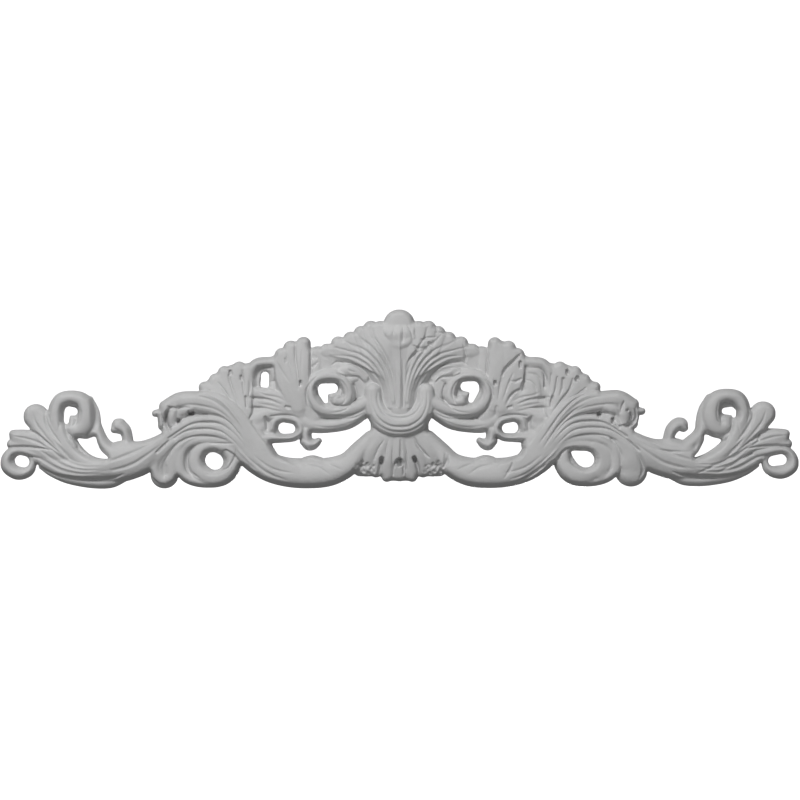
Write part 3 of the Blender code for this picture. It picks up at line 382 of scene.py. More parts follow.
def hook(c):
    """The small curl that stands on the wing."""
    if c.side < 0:
        c.lay([(313, -58), (313, -45), (316, -35), (322.5, -30.3)], [7, 6.3, 7, 9.3], [16, 15, 16, 17], 8,
              blend=2)
        c.lay([(323.5, -30.5), (327.5, -33.5)], [9.3, 5.4], [17, 15], 8, blend=2)
        c.cut([(309.5, -40), (311.5, -31), (318.5, -25.5), (326.5, -27), (328.5, -32), (323.5, -34)],
              [0.8, 1.4, 1.7, 1.7, 1.6, 1.2], 2.4)
        c.drill(322, -37.5, 2, 4, (319, -40))
    else:
        c.lay([(313, -60), (313.5, -46), (317, -36.5), (323, -31), (328.5, -31.5), (330, -34)],
              [7.5, 6.5, 7.2, 8, 7.4, 6], [16, 15, 16, 17, 16, 15], 8, blend=2)
        c.cut([(309, -44), (311, -33), (318, -27), (328, -25.5)], [0.8, 1.5, 1.7, 1], 2.2)
        c.drill(322, -41, 1.6, 4, (321, -45))


def trunk_and_belly(c):
    """The low stem that swings from the arch, under the middle, up to the collar."""
    c.lay([(185, -34), (176, -46), (168, -58), (160, -68), (150, -77)], [17, 21, 22, 20, 17],
          [24, 25, 25.5, 26, 26], 15, blend=2)
    c.lay([(176, -46), (168, -62), (152, -76), (130, -83), (104, -84.5), (80, -82.5), (60, -74), (46, -58),
           (33, -44)], [14, 18, 17, 17, 17.5, 16.5, 14, 11, 9], [24, 25, 26, 26, 26, 26, 24, 21, 19], 9,
          lean=0.2, blend=2)
    c.lay([(110, -67.5), (100, -66.5), (90, -68)], [2, 3, 2], [14, 18, 14], blend=3)
    if c.side > 0:
        c.lay([(157, -43), (149.5, -53)], [8, 6.5], [22, 23], 12, blend=2)


def arch_leaf(c):
    """The broad band over the arch, and the flutes that spread under it into the trunk."""
    c.lay([(262, -38), (245, -26), (228, -24), (205, -28), (185, -42)], [12, 14, 15, 16, 16],
          [15, 18, 20, 22, 23], 8, top=flat_top)
    c.lay([(269, -8), (253, -1.5), (236, -1.5), (218, -3.5), (203, -9.5), (191, -19), (180, -34), (169, -50),
           (156, -65), (140, -76), (122, -82)], [8, 10.5, 11.8, 13, 13, 12.5, 12.5, 13, 12.5, 11, 8],
          [17, 21, 23.5, 24.5, 25.2, 25.4, 25.6, 25.8, 26, 26, 25.5],
          [10, 14, 17, 19, 20.5, 21.5, 22.5, 23.5, 24, 24, 24], blend=2)
    for route, widths in (
            ([(318, -61), (300, -57.5), (284, -51.5), (266, -42), (250, -33), (236, -25.8), (222, -22),
              (208, -22), (195, -27), (183, -38), (172, -52), (160, -66)],
             [8, 9, 8, 7, 6.2, 5.4, 5, 5, 6, 7.5, 9, 9]),
            ([(279, -68), (268, -57), (255, -46.5), (243, -37), (230, -31), (215, -30), (200, -33.5),
              (187, -43), (176, -55), (164, -69)],
             [4, 4.6, 4.8, 4.6, 4.6, 4.6, 5.4, 7.5, 9, 9]),
            ([(266, -72), (260, -58), (250, -49), (240, -42), (228, -38), (212, -37.5), (196, -41),
              (184, -50), (174, -62), (162, -74)],
             [4, 4.8, 4.8, 4.4, 4.4, 4.8, 5.6, 7.5, 9, 9])):
        c.lay(route, widths, [17.5, 20.5, 22, 23, 24, 24.5, 25, 25.8], drop=2.2, blend=1.2)


def belly_folds(c):
    """Soft folds along the belly, sharper in the right half."""
    c.cut([(116, -72), (104, -75), (92, -78), (80, -85)], [0.8, 2.2, 2.2, 0.8], 1.6)
    c.cut([(98, -69), (88, -72), (76, -76), (66, -80)], [1, 2.2, 2, 0.8], 1.6)
    c.cut([(178, -62), (164, -74), (148, -85), (128, -92)], [0.8, 2, 2.4, 0.8], 1.8)
    c.cut([(166, -64), (152, -75), (138, -81), (120, -84)], [0.6, 1.8, 1.8, 0.6], 1.4)
    c.cut([(186, -56), (176, -66), (164, -77)], [1, 2.2, 1], -1.4)
    if c.side > 0:
        c.cut([(182, -64), (168, -76), (152, -87), (138, -94)], [1.4, 2.6, 2.6, 1], 3.4)
        c.cut([(176, -70), (162, -82), (148, -90), (132, -96)], [1, 1.8, 1.8, 0.6], 1.8)
        c.cut([(134, -68), (129, -80), (122, -90)], [1.2, 2.4, 1], 2)
        c.cut([(56, -64), (54, -72), (50, -78)], [1.2, 3.2, 1.4], 2.6)


def wing_stem(c):
    """The stem that swings out from the arch to the end, with a lip under it."""
    c.lay([(418, -68), (400, -72.5), (380, -77), (352, -79), (322, -71), (300, -67.5), (284, -59.5),
           (266, -47)], [5, 10.5, 14.5, 14.5, 23.5, 20.5, 16, 11], [12, 18, 22, 24, 25, 24, 23, 20], 8,
          lean=-0.1, blend=3)
    c.lay([(413, -77), (400, -84), (380, -91), (352, -95), (332, -94.5), (316, -89)], [2.5, 4.5, 6, 7, 7, 5],
          [8, 10.5, 12, 13.5, 13.5, 12], 7, blend=1)


def arch_grooves(c):
    """The long grooves that divide the arch's flutes and fade out in the trunk."""
    c.cut([(247, -15.5), (234, -16), (220, -17), (206, -19.5), (195, -26), (185, -37), (177, -48)],
          [1.4, 3, 3.2, 2.6, 1.9, 1.2, 0.4], 4.6)
    c.cut([(264, -44), (250, -34.5), (238, -28), (224, -25.7), (208, -27), (196, -33), (185, -43),
           (175, -55)], [1.8, 1.8, 1.9, 2.1, 1.8, 1.3, 0.8, 0.3], 2.8)
    c.cut([(278, -60), (262, -46.5), (248, -37.5), (234, -33.7), (218, -33.4), (203, -37), (190, -47),
           (178, -60)], [2.2, 2, 1.8, 1.9, 1.7, 1.4, 0.9, 0.3], 2.8)
    c.cut([(268, -68), (258, -54), (246, -45.5), (232, -41.5), (216, -41.5), (201, -46), (190, -54),
           (179, -67)], [2.4, 2.2, 2, 1.8, 1.6, 1.4, 0.9, 0.3], 3)
    c.cut([(262, -1), (246, 4), (228, 3.5), (214, -0.5), (202, -8.5), (190, -21)],
          [0.5, 1.6, 1.9, 1.7, 1.4, 0.4], 1.3)
    c.cut([(258, -8), (242, -5.5), (226, -7), (210, -11), (198, -19), (186, -31)],
          [0.5, 1.6, 1.9, 1.7, 1.4, 0.4], 1.3)
    c.cut([(220, 7), (207, 0.5), (196, -9), (186, -22), (178, -34)], [0.8, 1.6, 1.8, 1.4, 0.5], -1.6)
    if c.side > 0:
        c.cut([(226, 11), (212, 6), (199, -3), (187, -17), (176, -34), (164, -50)],
              [0.8, 1.8, 2.2, 2.2, 1.8, 0.6], 3.2)
        c.cut([(214, -6), (202, -13), (190, -26), (178, -42), (168, -56)], [0.6, 1.8, 2.2, 1.8, 0.6], 2.4)


def end_leaf(c):
    """The blunt low lobe and the upright lobe that close the end."""
    c.lay([(392, -56), (415, -47), (432, -43.5), (441, -42)], [13, 11.5, 9.5, 8], [19, 17, 15, 13], drop=5,
          blend=3)
    c.lay([(396, -62), (418, -55), (436, -52), (446, -51)], [10, 8, 7, 6], [18, 16, 14, 11.5], drop=4,
          blend=2)
    c.lay([(434, -40.5), (444.5, -39.4)], [6, 5], [14, 12], drop=4, blend=2)
    tip = (418.5, -19) if c.side < 0 else (419, -17.5)
    c.lay([(384, -56), (399, -41), (410, -28), tip], [14, 14.5, 14.8, 14.4], [21, 20, 18.5, 15.5], drop=4.5,
          blend=2)
    c.cut([(407, -12), (405, -25), (398, -38), (388, -50)], [0.8, 2.6, 2.8, 0.8], 3)
    c.cut([(421, -13), (417, -26), (407, -40), (394, -54)], [0.6, 2, 2.2, 0.6], 1.6)
    c.cut([(432, -33), (418, -38), (404, -49), (390, -60)], [1.2, 2.6, 2.4, 0.8], 3.4)
    c.cut([(446, -41), (430, -44), (414, -49), (398, -58)], [0.6, 1.8, 2, 0.6], 1.6)
    if c.side > 0:
        c.cut([(430, -36), (418, -41), (407, -48)], [2, 4, 2], 2.4)
        c.drill(413.5, -42, 1.7, 3, (413, -47))
        c.cut([(445, -56), (424, -58), (408, -62), (396, -68)], [1.2, 2.6, 3, 1], 5)


def wing_grooves(c):
    """The lines that run from the end lobes along the wing, and the step over its lip."""
    c.cut([(406, -81), (392, -86.5), (372, -90), (350, -91), (330, -89.5), (316, -85)],
          [0.8, 2.2, 2.8, 3, 2.4, 0.8], 4.5)
    depth = 1.8 if c.side < 0 else 2.6
    c.cut_between([(396, -46), (388, -56), (376, -66), (360, -72), (340, -72)],
                  [(424, -61), (406, -71), (388, -80), (366, -84.5), (340, -84)], 4, [0.8, 2.4, 3, 2.2, 0.4],
                  depth)
    c.cut([(352, -74), (332, -70), (314, -64), (296, -56), (278, -46)], [0.4, 2.2, 2.8, 2.4, 0.8], 1.6)
    c.cut([(346, -82), (326, -80), (306, -74), (290, -64), (274, -52)], [0.4, 2.2, 2.8, 2.4, 1], 1.8)
    c.cut([(322, -54), (308, -52), (294, -49), (282, -44)], [0.5, 1.8, 1.8, 0.6], 1.4)
    if c.side > 0:
        c.cut([(392, -60), (376, -71), (360, -79), (342, -88)], [0.8, 2, 2.4, 0.8], 2.4)
        c.cut([(398, -65), (382, -77), (366, -86)], [0.8, 2.2, 0.8], 2.4)
        c.cut([(340, -62), (318, -62), (300, -60), (282, -52)], [0.5, 2, 2.2, 0.8], 2)


def end_ring(c):
    """The ring that ends the wing's lip, with a hole through it."""
    c.lay([(436, -70), (437, -70)], [12, 12], 7)
    c.lay([(410, -63), (424, -60.5), (436, -58.5), (447, -60.5), (452, -69), (450, -78), (439, -84.5),
           (428, -82), (423.5, -75), (423, -68)], [5, 4.5, 4.8, 5.5, 6.8, 7.7, 7.7, 6.8, 5.5, 4.5],
          [15, 14.5, 14.5, 15, 16, 16, 16, 15, 13, 10], 8, lean=-0.1)
    c.cut([(398, -58), (412, -55.5), (430, -54), (450, -54.5)], [0.6, 1.8, 2.4, 2.2], 4)
    if c.side < 0:
        c.pierce([(432.5, -71.2), (436.5, -70.2)], [6.5, 6.5])
    else:
        c.pierce([(431, -71.8), (440, -69.8)], [5.8, 6.2])


def upper_volute(c):
    """The large scroll over the end, with its eye and the opening under its foot."""
    if c.side < 0:
        c.lay([(352, -20), (347, -36), (340.5, -50), (330, -60)], [6, 6.5, 7.5, 9], [12, 14, 18, 22], 6,
              blend=4)
        c.lay([(352, -38), (362, -40), (372, -42)], [6, 6, 6], [11, 12, 13], 7, blend=3)
    else:
        c.lay([(353, -20), (350.5, -34), (347, -43), (340, -51), (330, -60)], [6, 6.5, 7, 8, 9],
              [12, 14, 16, 18, 22], 6, blend=4)
        c.lay([(350, -40), (349, -50), (345, -62)], [4, 6, 7], [14, 16, 20], 6, blend=4)
        c.lay([(356, -36), (368, -40), (378, -43)], [6, 7, 7], [11, 12, 13], 7, blend=3)
    c.lay([(380, -14), (370, -16), (366, -28)], [12, 12, 13.5], 12)
    c.lay([(384, -30), (376, -44), (366, -57), (352, -66)], [9, 9.5, 8, 5], [12, 12.5, 14, 20], 7, blend=2)
    c.lay([(358, -1), (353.5, -14), (351.5, -28), (351.5, -36)], [6, 8, 8, 7.5], 12.5, 6, blend=4)
    c.lay([(334, -80), (352, -75), (368, -67), (380, -55), (388, -41), (393.5, -26), (395, -12), (389, 0),
           (376, 3.5), (364, -1), (359.5, -14), (361, -27), (368, -34.8), (376, -32.5), (377, -25)],
          [6, 7, 7.2, 7.4, 7.6, 8, 9.2, 8.5, 7.5, 8.5, 9.5, 9.5, 9, 7.2, 5.5],
          [23.5, 23, 22, 21.5, 21, 20.5, 20.5, 20.5, 20.5, 21, 21, 21, 21, 19.5, 16],
          [21, 20, 17, 15, 14, 13, 13, 12, 12, 12, 12, 12, 12, 11, 10], lean=0.1, blend=1)
    c.cut([(386, -20), (384, -33), (378.5, -46), (369, -57), (356, -65.5), (342, -68)],
          [0.8, 1.8, 2.4, 2.4, 1.8, 0.6], 3)
    c.cut([(392, -40), (389, -26), (387, -12), (381, -4.5), (371, -4.5)], [0.6, 1.4, 1.8, 1.8, 0.8], 1.8)
    c.cut([(400, -30), (401, -14), (395, 3), (382, 9)], [0.6, 1.4, 1.4, 0.6], 1.2)
    c.cut([(366, -4), (365, -16), (368, -26), (374, -29)], [0.6, 1.6, 1.8, 1.2], 1.8)
    if c.side < 0:
        c.cut([(353, 0), (349.5, -12), (348.5, -25), (350, -34)], [2, 6, 6, 3], 5)
        c.pierce([(380.5, -12.5), (375, -13.3)], [5, 4.6])
        c.pierce([(382.5, -15), (383.5, -25)], [3.6, 2.8])
        c.open_hole([(371, -45), (360, -45), (350.5, -42.5), (347.5, -50), (343.5, -58.5), (334.8, -67),
                     (345, -67), (354, -64), (363, -57)])
    else:
        c.pierce([(382.5, -14.6), (376, -14.8)], [4.6, 3.8])
        c.pierce([(385.5, -15), (386.5, -20)], [3.2, 2.4])
        c.open_hole([(354.5, -42.5), (364, -45.5), (373, -48.5), (366.5, -56), (355, -64), (342.2, -69),
                     (347, -62), (351.3, -54), (353.6, -48)])


def curled_leaf(c):
    """The turned-over tip of the arch leaf, with drilled eyes between its lobes."""
    c.lay([(250, -24), (262, -30), (272, -30)], [14, 11, 6], [16, 15, 12])
    c.lay([(262, -14), (268, -26)], [12, 9.5], 10)
    c.lay([(256, -4), (267, -9.5), (273.5, -18), (274, -28)], [8, 7, 4.8, 4], [20, 19, 16, 15], drop=6,
          blend=1)
    c.lay([(272, -14), (281, -15.5)], [5, 4.2], [15, 12], drop=5, blend=1)
    c.lay([(257, -9), (261, -20), (261.5, -28)], [5, 6, 5.5], [21, 21, 18], drop=7, blend=0.5)
    c.lay([(238, -9), (249, -13.5), (254, -18)], [5, 5.5, 4.5], [23, 22, 18], drop=6, blend=0.5)
    c.lay([(236, -21), (246, -26), (256, -34)], [4, 5, 5], [20, 20, 18], drop=5, blend=0.5)
    if c.side < 0:
        c.cut([(263, -9), (267.3, -16), (267.5, -27), (264, -34)], [1.4, 2.7, 2.8, 2.8], 8)
        c.drill(240.5, -15, 2.6, 8, (238, -15))
        c.drill(253.5, -23, 2.1, 8, (253.8, -25))
        c.cut([(238, -16), (246, -20), (253, -24)], [2.6, 1.6, 2.2], 5)
        c.cut([(265, -8), (256, -9.5), (247, -8.5), (240, -9)], [1.6, 2.4, 1.6, 0.8], 4)
        c.cut([(274, -14), (272, -22), (271, -30)], [0.8, 1.6, 1.2], 2.5)
    else:
        c.drill(231.5, -16.5, 2.2, 9, (231.8, -19.5))
        c.drill(247.5, -23.5, 1.8, 9, (247.5, -27))
        c.cut([(258, -4), (256.5, -10), (256, -16)], [1.2, 2.2, 1.4], 4.5)
        c.drill(263, -14, 1.8, 3.5)
        c.cut([(272, -12), (274, -22), (269, -30), (257, -32)], [1.4, 2.4, 2.8, 1.8], 5.5)
        c.cut([(249, -18), (251, -28), (256, -34)], [0.8, 1.8, 1.6], 3)


def tongue(c):
    """The lobe that hangs between the wing stem and the small ring."""
    if c.side < 0:
        c.lay([(262, -48), (267, -60), (270, -74), (270.5, -86)], [10, 14, 17, 16], [18, 18, 16.5, 13.5], 6,
              blend=1)
        c.lay([(260, -48), (272, -60), (280.5, -72), (280, -84), (273, -92)], [3.6, 5, 5.6, 5.4, 4.6],
              [22, 20.5, 19, 17.5, 16], drop=4, blend=2)
        c.lay([(250, -52), (257, -64), (260, -76), (262, -87), (269, -92.5)], [4, 5.8, 6.2, 5.6, 4.6],
              [21, 20, 18.5, 17, 16], drop=4, blend=2)
        c.cut([(260, -58), (267, -67), (270.5, -77), (270, -87)], [0.8, 2.4, 3.8, 2], 2.8)
    else:
        c.lay([(262, -48), (268, -60), (271, -74), (270.5, -83.5)], [10, 15, 19.5, 18.5],
              [19, 19.5, 19.5, 17.5], 6, blend=1)
        c.lay([(256, -50), (265, -62), (268, -76), (268, -86)], [5, 8, 10, 9], [21, 21, 20.5, 17], drop=4,
              blend=2)
        c.cut([(272, -56), (279, -68), (283, -82), (279, -92)], [0.8, 2.6, 3, 1.4], 2.6)
        c.cut([(246, -46), (252, -56), (253, -70), (251, -84)], [1.6, 3.4, 3.4, 2.4], 5)


def small_ring(c):
    """The scroll beside the tongue, with a round eye and a strand falling round it."""
    c.lay([(212, -70), (222, -68), (230, -68)], [21, 22, 22], 16, 9, blend=1)
    c.lay([(176, -64), (190, -52), (207, -46), (226, -45.5), (240, -49), (249, -57), (252.5, -70), (250, -84),
           (240, -92), (222, -95.5), (205, -93.5), (194, -87), (188, -78)],
          [6, 6, 5.5, 5, 5, 5.5, 6, 6, 6, 6, 6, 5.5, 4.5],
          [25, 24, 22, 21, 21, 20.5, 20, 19, 18, 18, 18.5, 18.5, 18], drop=4.5, blend=0.8)
    c.lay([(172, -70), (182, -62), (193, -56), (207, -52.5), (222, -53.5), (232, -61), (234, -72), (228, -83),
           (214, -88), (200, -85), (192, -76), (192, -66), (198, -59)],
          [7, 8, 8, 7.5, 7.5, 8.5, 9, 9.5, 10, 10, 9.5, 8.5, 7],
          [25, 24, 23, 22, 21, 20, 20, 20.5, 21.5, 22, 22, 21, 20], drop=6, lean=-0.1, blend=1)
    if c.side < 0:
        c.cut([(234, -53), (241.5, -61), (243, -72), (239.5, -82), (229, -90)], [0.8, 1.9, 2.2, 1.9, 0.8],
              3.2)
        c.cut([(190, -50), (203, -50), (218, -49.5)], [0.8, 1.6, 0.8], 2)
        c.cut([(187, -56), (189, -66), (195.5, -77), (208, -84), (222, -85.5)], [0.8, 1.8, 2, 1.8, 0.8], 2.6)
        c.cut([(211.5, -71), (214.5, -69.6)], [18, 18], 4)
        c.pierce([(212.4, -71), (214.6, -69.6)], [9.4, 9.2])
    else:
        c.lay([(228, -54), (238, -62), (240, -74), (234, -86)], [6, 8, 8, 7], [20.5, 20, 19.5, 19], drop=4,
              blend=3)
        c.cut([(186, -74), (188, -64), (196, -57), (208, -55)], [0.8, 1.8, 1.8, 0.8], 2)
        c.cut([(198, -56), (199, -62), (203, -70)], [0.8, 1.6, 0.8], 1.6)
        c.open_hole([(202.5, -61.3), (213, -60.3), (222.7, -61.5), (228.3, -67.8), (227.8, -74.6),
                     (222.7, -78.8), (215, -78.4), (208, -72.8)])


def oval_scroll(c):
    """The scroll with the oval eye, and the knob that hangs from it over the long opening."""
    c.lay([(165, -22), (150, -16), (128, -16), (110, -24), (100, -30)], [10, 9, 8, 8, 8],
          [19, 17.5, 16, 16, 15], 9, blend=2)
    c.lay([(168, -34), (156, -30), (150, -38)], [13, 10, 8], [20, 17, 15], 9, blend=3)
    c.lay([(136, -34), (122, -34)], [10, 9], 10)
    c.lay([(172, -52), (162, -45), (150, -44), (135, -44.2), (121, -42.5), (113.5, -35), (117, -26),
           (130, -21.5), (142, -24), (146.5, -33)], [6, 6, 6.2, 5.2, 5, 5, 5, 5.5, 5.5, 5],
          [24, 23, 20.5, 19.5, 19, 19, 18.5, 18, 18, 17], 8, blend=1.5)
    c.cut([(154, -20), (151.5, -27), (152, -34)], [2.2, 3.4, 2.6], 4.5)
    c.cut([(148, -19), (136, -17.5), (122, -18.5), (110, -24)], [1.2, 1.6, 1.6, 0.8], 2.4)
    c.pierce([(125.8, -33), (133.2, -32.5)], [5.6, 6.4])
    c.lay([(108, -36), (107, -41), (106, -46)], [6.5, 6, 5.5], 17, 9)
    c.lay([(110, -48), (104, -51.5), (98, -50.5), (93.5, -47.5)], [5, 7.2, 6.2, 4.2], [17, 19.5, 18, 16], 8,
          blend=1)
    c.cut([(102, -36), (103, -42)], [1.2, 1.8], 2.5)


def inner_volute(c):
    """The scroll beside the collar, on the body that carries it."""
    c.lay([(100, -20), (110, 0), (112, 20)], [10, 10, 9], [16, 17, 15], 8, top=flat_top)
    c.lay([(68, 38), (86, 42), (94, 48)], [14, 16, 14], 12.5, top=flat_top)
    c.lay([(76, -16), (92, -14)], [8, 8], 15)
    c.lay([(30, 5), (40, 12), (52, 24), (60, 34)], [14, 16, 16, 13], 14.5, top=flat_top)
    c.lay([(84, 8), (70, 8), (60, 8)], [14, 14, 14], 12)
    c.lay([(34, -8), (46, -17), (60, -25.5), (78, -29.3), (98, -29), (118, -20)], [8, 8.5, 8.5, 8.2, 9, 9],
          [20, 19.5, 19, 18, 17, 16], 8, blend=1)
    c.lay([(36, -2), (50, -9), (68, -13.2), (85, -11.5), (98, -3), (102, 10), (97, 22), (84, 27.5), (70, 26),
           (60.5, 17), (57.5, 5), (64, -3), (72, -1)],
          [8, 8, 8.4, 8.4, 7.8, 7.5, 7.5, 8.2, 8, 7.5, 7, 6.5, 6.5],
          [23, 22.5, 21.5, 21, 21, 21, 21.5, 21.5, 21.5, 21.5, 21, 21, 22],
          [14, 13, 12, 12, 12, 12, 12, 12, 12, 12, 12, 13, 14], blend=0.8)
    c.cut([(62, 27), (54, 20), (50, 8), (52, -2), (60, -6.5), (74, -7)], [0.8, 2, 2.4, 2.2, 1.8, 0.8], 3.2)
    c.cut([(69.5, 20), (65.5, 11), (66, 4), (70, 1.5)], [1.4, 1.7, 1.5, 1], 3)
    c.cut([(95, 27), (104, 16), (106, 3), (100, -9)], [0.8, 2, 2.2, 1], 3.4)
    c.cut([(40, -15), (54, -21), (72, -21.5), (90, -20), (102, -12)], [0.6, 1.6, 2, 2, 0.8], 2.6)
    if c.side < 0:
        c.pierce([(76.5, 13.5), (87.5, 12.2)], [5.5, 6.6])
        c.pierce([(88, 8), (85, -1)], [5.4, 2.8])
    else:
        c.pierce([(75.5, 15.5), (85, 14.8)], [5.4, 6.6])
        c.pierce([(86.5, 12), (82.5, 0)], [5.2, 3.2])


def volute_lines(c):
    """The fine lines that follow the turns of the inner volute."""
    c.cut([(50, -6), (68, -9.5), (83, -8), (94, -1), (98, 10), (94, 19), (83, 23.5), (72, 22.5), (65, 16),
           (62, 6)], [0.4, 1, 1.2, 1.3, 1.3, 1.3, 1.3, 1.3, 1.3, 0.6], 1.1)
    c.cut([(80, 31), (64, 28), (55.5, 19), (53, 6), (57, -7), (67, -13), (80, -15)],
          [0.6, 1.3, 1.6, 1.6, 1.5, 1.3, 0.6], 2)
    c.cut([(75, 24.5), (66.5, 21.5), (61.5, 14), (60.5, 5), (65, -4), (73, -6.5)],
          [0.6, 1.3, 1.5, 1.5, 1.3, 0.6], 1.7)
    c.cut([(40, -11), (54, -17.5), (72, -18.5), (90, -17), (103, -8), (109, 6)],
          [0.6, 1.5, 1.8, 1.8, 1.6, 0.6], 1.8)
    c.cut([(48, -22), (64, -29), (82, -31.5), (100, -29)], [0.6, 1.4, 1.4, 0.6], 1.2)


def bud(c):
    """The small bud tucked in between the volute and the leaf above it."""
    c.lay([(67, 32), (58, 34.5), (48, 31.5), (40, 25)], [4.5, 6.5, 6, 5], [17, 18.5, 18, 17], drop=4, blend=2)
    c.lay([(60, 13), (58, 22), (50, 27)], [6, 6, 5], [17, 17.5, 17], drop=4, blend=2)
    c.cut([(72, 34), (67, 28), (58, 26.3), (48, 26), (41, 20)], [0.8, 2.2, 1.8, 1.8, 0.8], 3.2)
    c.cut([(60, 36), (56, 33), (50, 32)], [0.6, 1.6, 0.6], 1.6)


def palmette_half(c):
    """The leaves that rise from the collar and turn outwards, with a thick rolled lower edge."""
    c.lay([(14, 55), (30, 66), (52, 60), (78, 53)], [18, 22, 16, 11], [19, 19, 16, 13], 8, top=flat_top)
    c.lay([(0, -6), (4, 25), (12, 52)], [14, 16, 24], 22, 9, top=flat_top)
    c.lay([(24, 80), (38, 76), (52, 68), (66, 61), (80, 56)], [8, 9, 9, 8, 6.5], [18, 16.5, 15, 13.5, 12],
          drop=3, blend=2)
    c.lay([(10, -8), (12, 14), (21, 29.5), (33, 41), (50, 47.5), (68, 50), (80, 53)],
          [10, 12, 13.5, 13, 10, 8, 6], [25.5, 26, 25.5, 23.5, 20, 17, 14.5], [12, 12, 12, 11, 10, 9, 8],
          top=leaf_edge, blend=1)
    for tip, bend, width, crown in (((84, 57.5), (60, 55), 7.5, 14), ((70.5, 65), (50, 56), 8.5, 15.5),
                                    ((56, 70), (40, 53), 9, 17), ((44, 76.5), (32, 50), 9, 19),
                                    ((33, 82.5), (24, 48), 9, 20.5), ((22, 83), (17, 46), 8.5, 22.5)):
        c.lay([(8, 0), (11, 24), bend, tip], [4, 5, width, width], [25.5, 26, crown + 5, crown], drop=2.2,
              blend=2)
    c.lay([(3, -12), (4, 25), (6, 56)], [7, 9, 13], [26, 27, 26.5], drop=3, blend=3)
    c.cut_between([(4.5, -8), (6.5, 16), (12, 40), (23, 62), (34, 78)],
                  [(15, -6), (20, 16), (33, 36), (52, 48), (76, 51.5)], 5, [1, 2.3, 2.6, 2.2, 0.7], 2.6)
    c.cut_between([(22, 58), (28, 70), (33, 84)], [(50, 53), (66, 58), (82, 62)], 4, [0.4, 1.5, 0.9], 1.2)
    c.cut([(78, 40), (72, 43.5), (62, 42.5), (50, 40), (41, 32)], [1, 1.4, 1.6, 1.6, 1], 2)
    if c.side > 0:
        c.cut([(72, 38), (56, 36), (42, 29), (32, 18), (27, 8)], [1, 3, 5, 5.5, 2.5], 4)
        c.cut([(7, 34), (11, 45), (18, 53), (31, 59)], [0.8, 2, 2.4, 1.2], 3.2)
        c.cut([(16, 62), (22, 59), (31, 60)], [1.4, 2.2, 1], 3)
        c.cut([(24, 68.5), (32, 71), (42, 72)], [1.2, 1.8, 1], 2.6)
        c.drill(34, 65, 2, 2.6, (36, 63))
        c.cut([(42, 84), (44, 78), (52, 76)], [1.2, 1.8, 1.2], 2.2)
        c.cut([(72, 68), (74, 60), (76, 50), (75, 42)], [0.9, 1.8, 2.6, 1.4], 2.2)


def pendant(c):
    """The fan of lobes that hangs under the collar, drilled between its lobes."""
    for sign in (-1, 1):
        c.lay([(sign * 27.5, -26), (sign * 27.5, -36)], [6, 6], 14, 8)
        c.lay([(sign * 26, -42), (sign * 38, -56), (sign * 40, -76)], [8, 14, 11], [17, 17, 14], 6,
              top=flat_top)
        c.lay([(sign * 23, -79.5), (sign * 45, -79.5)], [8.8, 8.8], 12, 7)
        c.lay([(sign * 26, -40), (sign * 39, -54), (sign * 44, -66), (sign * 46, -77)], [8, 11, 10, 7],
              [20, 19.5, 18, 13], drop=5, blend=2)
        for start, middle, end, low in ((22, 34, 38, -82), (16, 23, 27, -83), (9, 12, 14.5, -88)):
            c.lay([(sign * start, -42), (sign * middle, -61), (sign * end, low)], [6, 7, 6.5], [21, 20.5, 15],
                  drop=3.5, blend=1.5)
        c.cut([(sign * 5.5, -46), (sign * 7.5, -60), (sign * 8, -80)], [0.8, 1.6, 1], 2.2)
    c.lay([(0, -42), (0, -64), (0, -87)], [7, 8, 7], [22.5, 22, 16], drop=3.5, blend=1.5)
    c.lay([(-13, -84), (13, -84)], [9.5, 9.5], 13, 7)
    c.cut([(1, -46), (1.5, -60), (1.5, -70)], [1, 1.9, 1.4], 3)
    c.drill(-0.5, -70.5, 3.4, 9.5, (0, -73.5))
    c.cut([(-5.5, -78), (-4.8, -72), (0, -68.5), (4.4, -72), (4.8, -78)], [1, 2, 2.6, 2, 1], 4.5)
    c.cut([(-7, -86), (-6, -76), (-4, -71)], [1, 1.8, 1.4], 2.6)
    c.cut([(4, -73), (5, -79), (4.5, -86)], [1.4, 1.8, 1], 2.6)
    c.drill(-20.5, -67.5, 2.6, 8, (-21, -71.5))
    c.cut([(-21, -70), (-23, -79), (-25, -88)], [2.6, 2.2, 1.6], 6)
    c.drill(16.5, -66.5, 2.3, 8, (18, -70))
    c.cut([(17.5, -68), (20.5, -76), (22.5, -86)], [2.6, 2.6, 1.8], 6.5)


def pendant_marks(c):
    """The chipped, drilled lower corners of the pendant, rougher than its smooth upper part."""
    c.cut([(-18, -46), (-24, -56), (-29, -68)], [0.8, 2, 1.2], 2.2)
    c.cut([(-13, -46), (-15, -58), (-15, -68)], [0.6, 1.6, 0.8], 1.6)
    c.cut([(17, -44), (22, -54), (28, -61), (34, -66)], [1.2, 2.4, 2.4, 1], 3.6)
    for sign in (-1, 1):
        for turn in range(14):
            angle = 2.4 * turn
            reach = 3.1 * math.sqrt(turn + 0.5)
            radius = 1.2 + 0.25 * (turn % 3)
            depth = 1.5 + 0.5 * (turn % 4)
            out = sign * (40.0 + 1.15 * reach * math.cos(angle))
            low = -79.0 + 0.72 * reach * math.sin(angle)
            c.drill(out, low, radius, depth, (out + 1.2 * math.sin(angle), low + 1))
    c.cut([(-50, -73), (-42, -76), (-33, -74)], [1.2, 2, 1], 2.2)
    c.cut([(32, -74), (41, -75), (51, -73)], [1, 2, 1.2], 2.2)
    c.cut([(52, -62), (53, -70), (52, -78)], [1.6, 4, 2.6], 3)


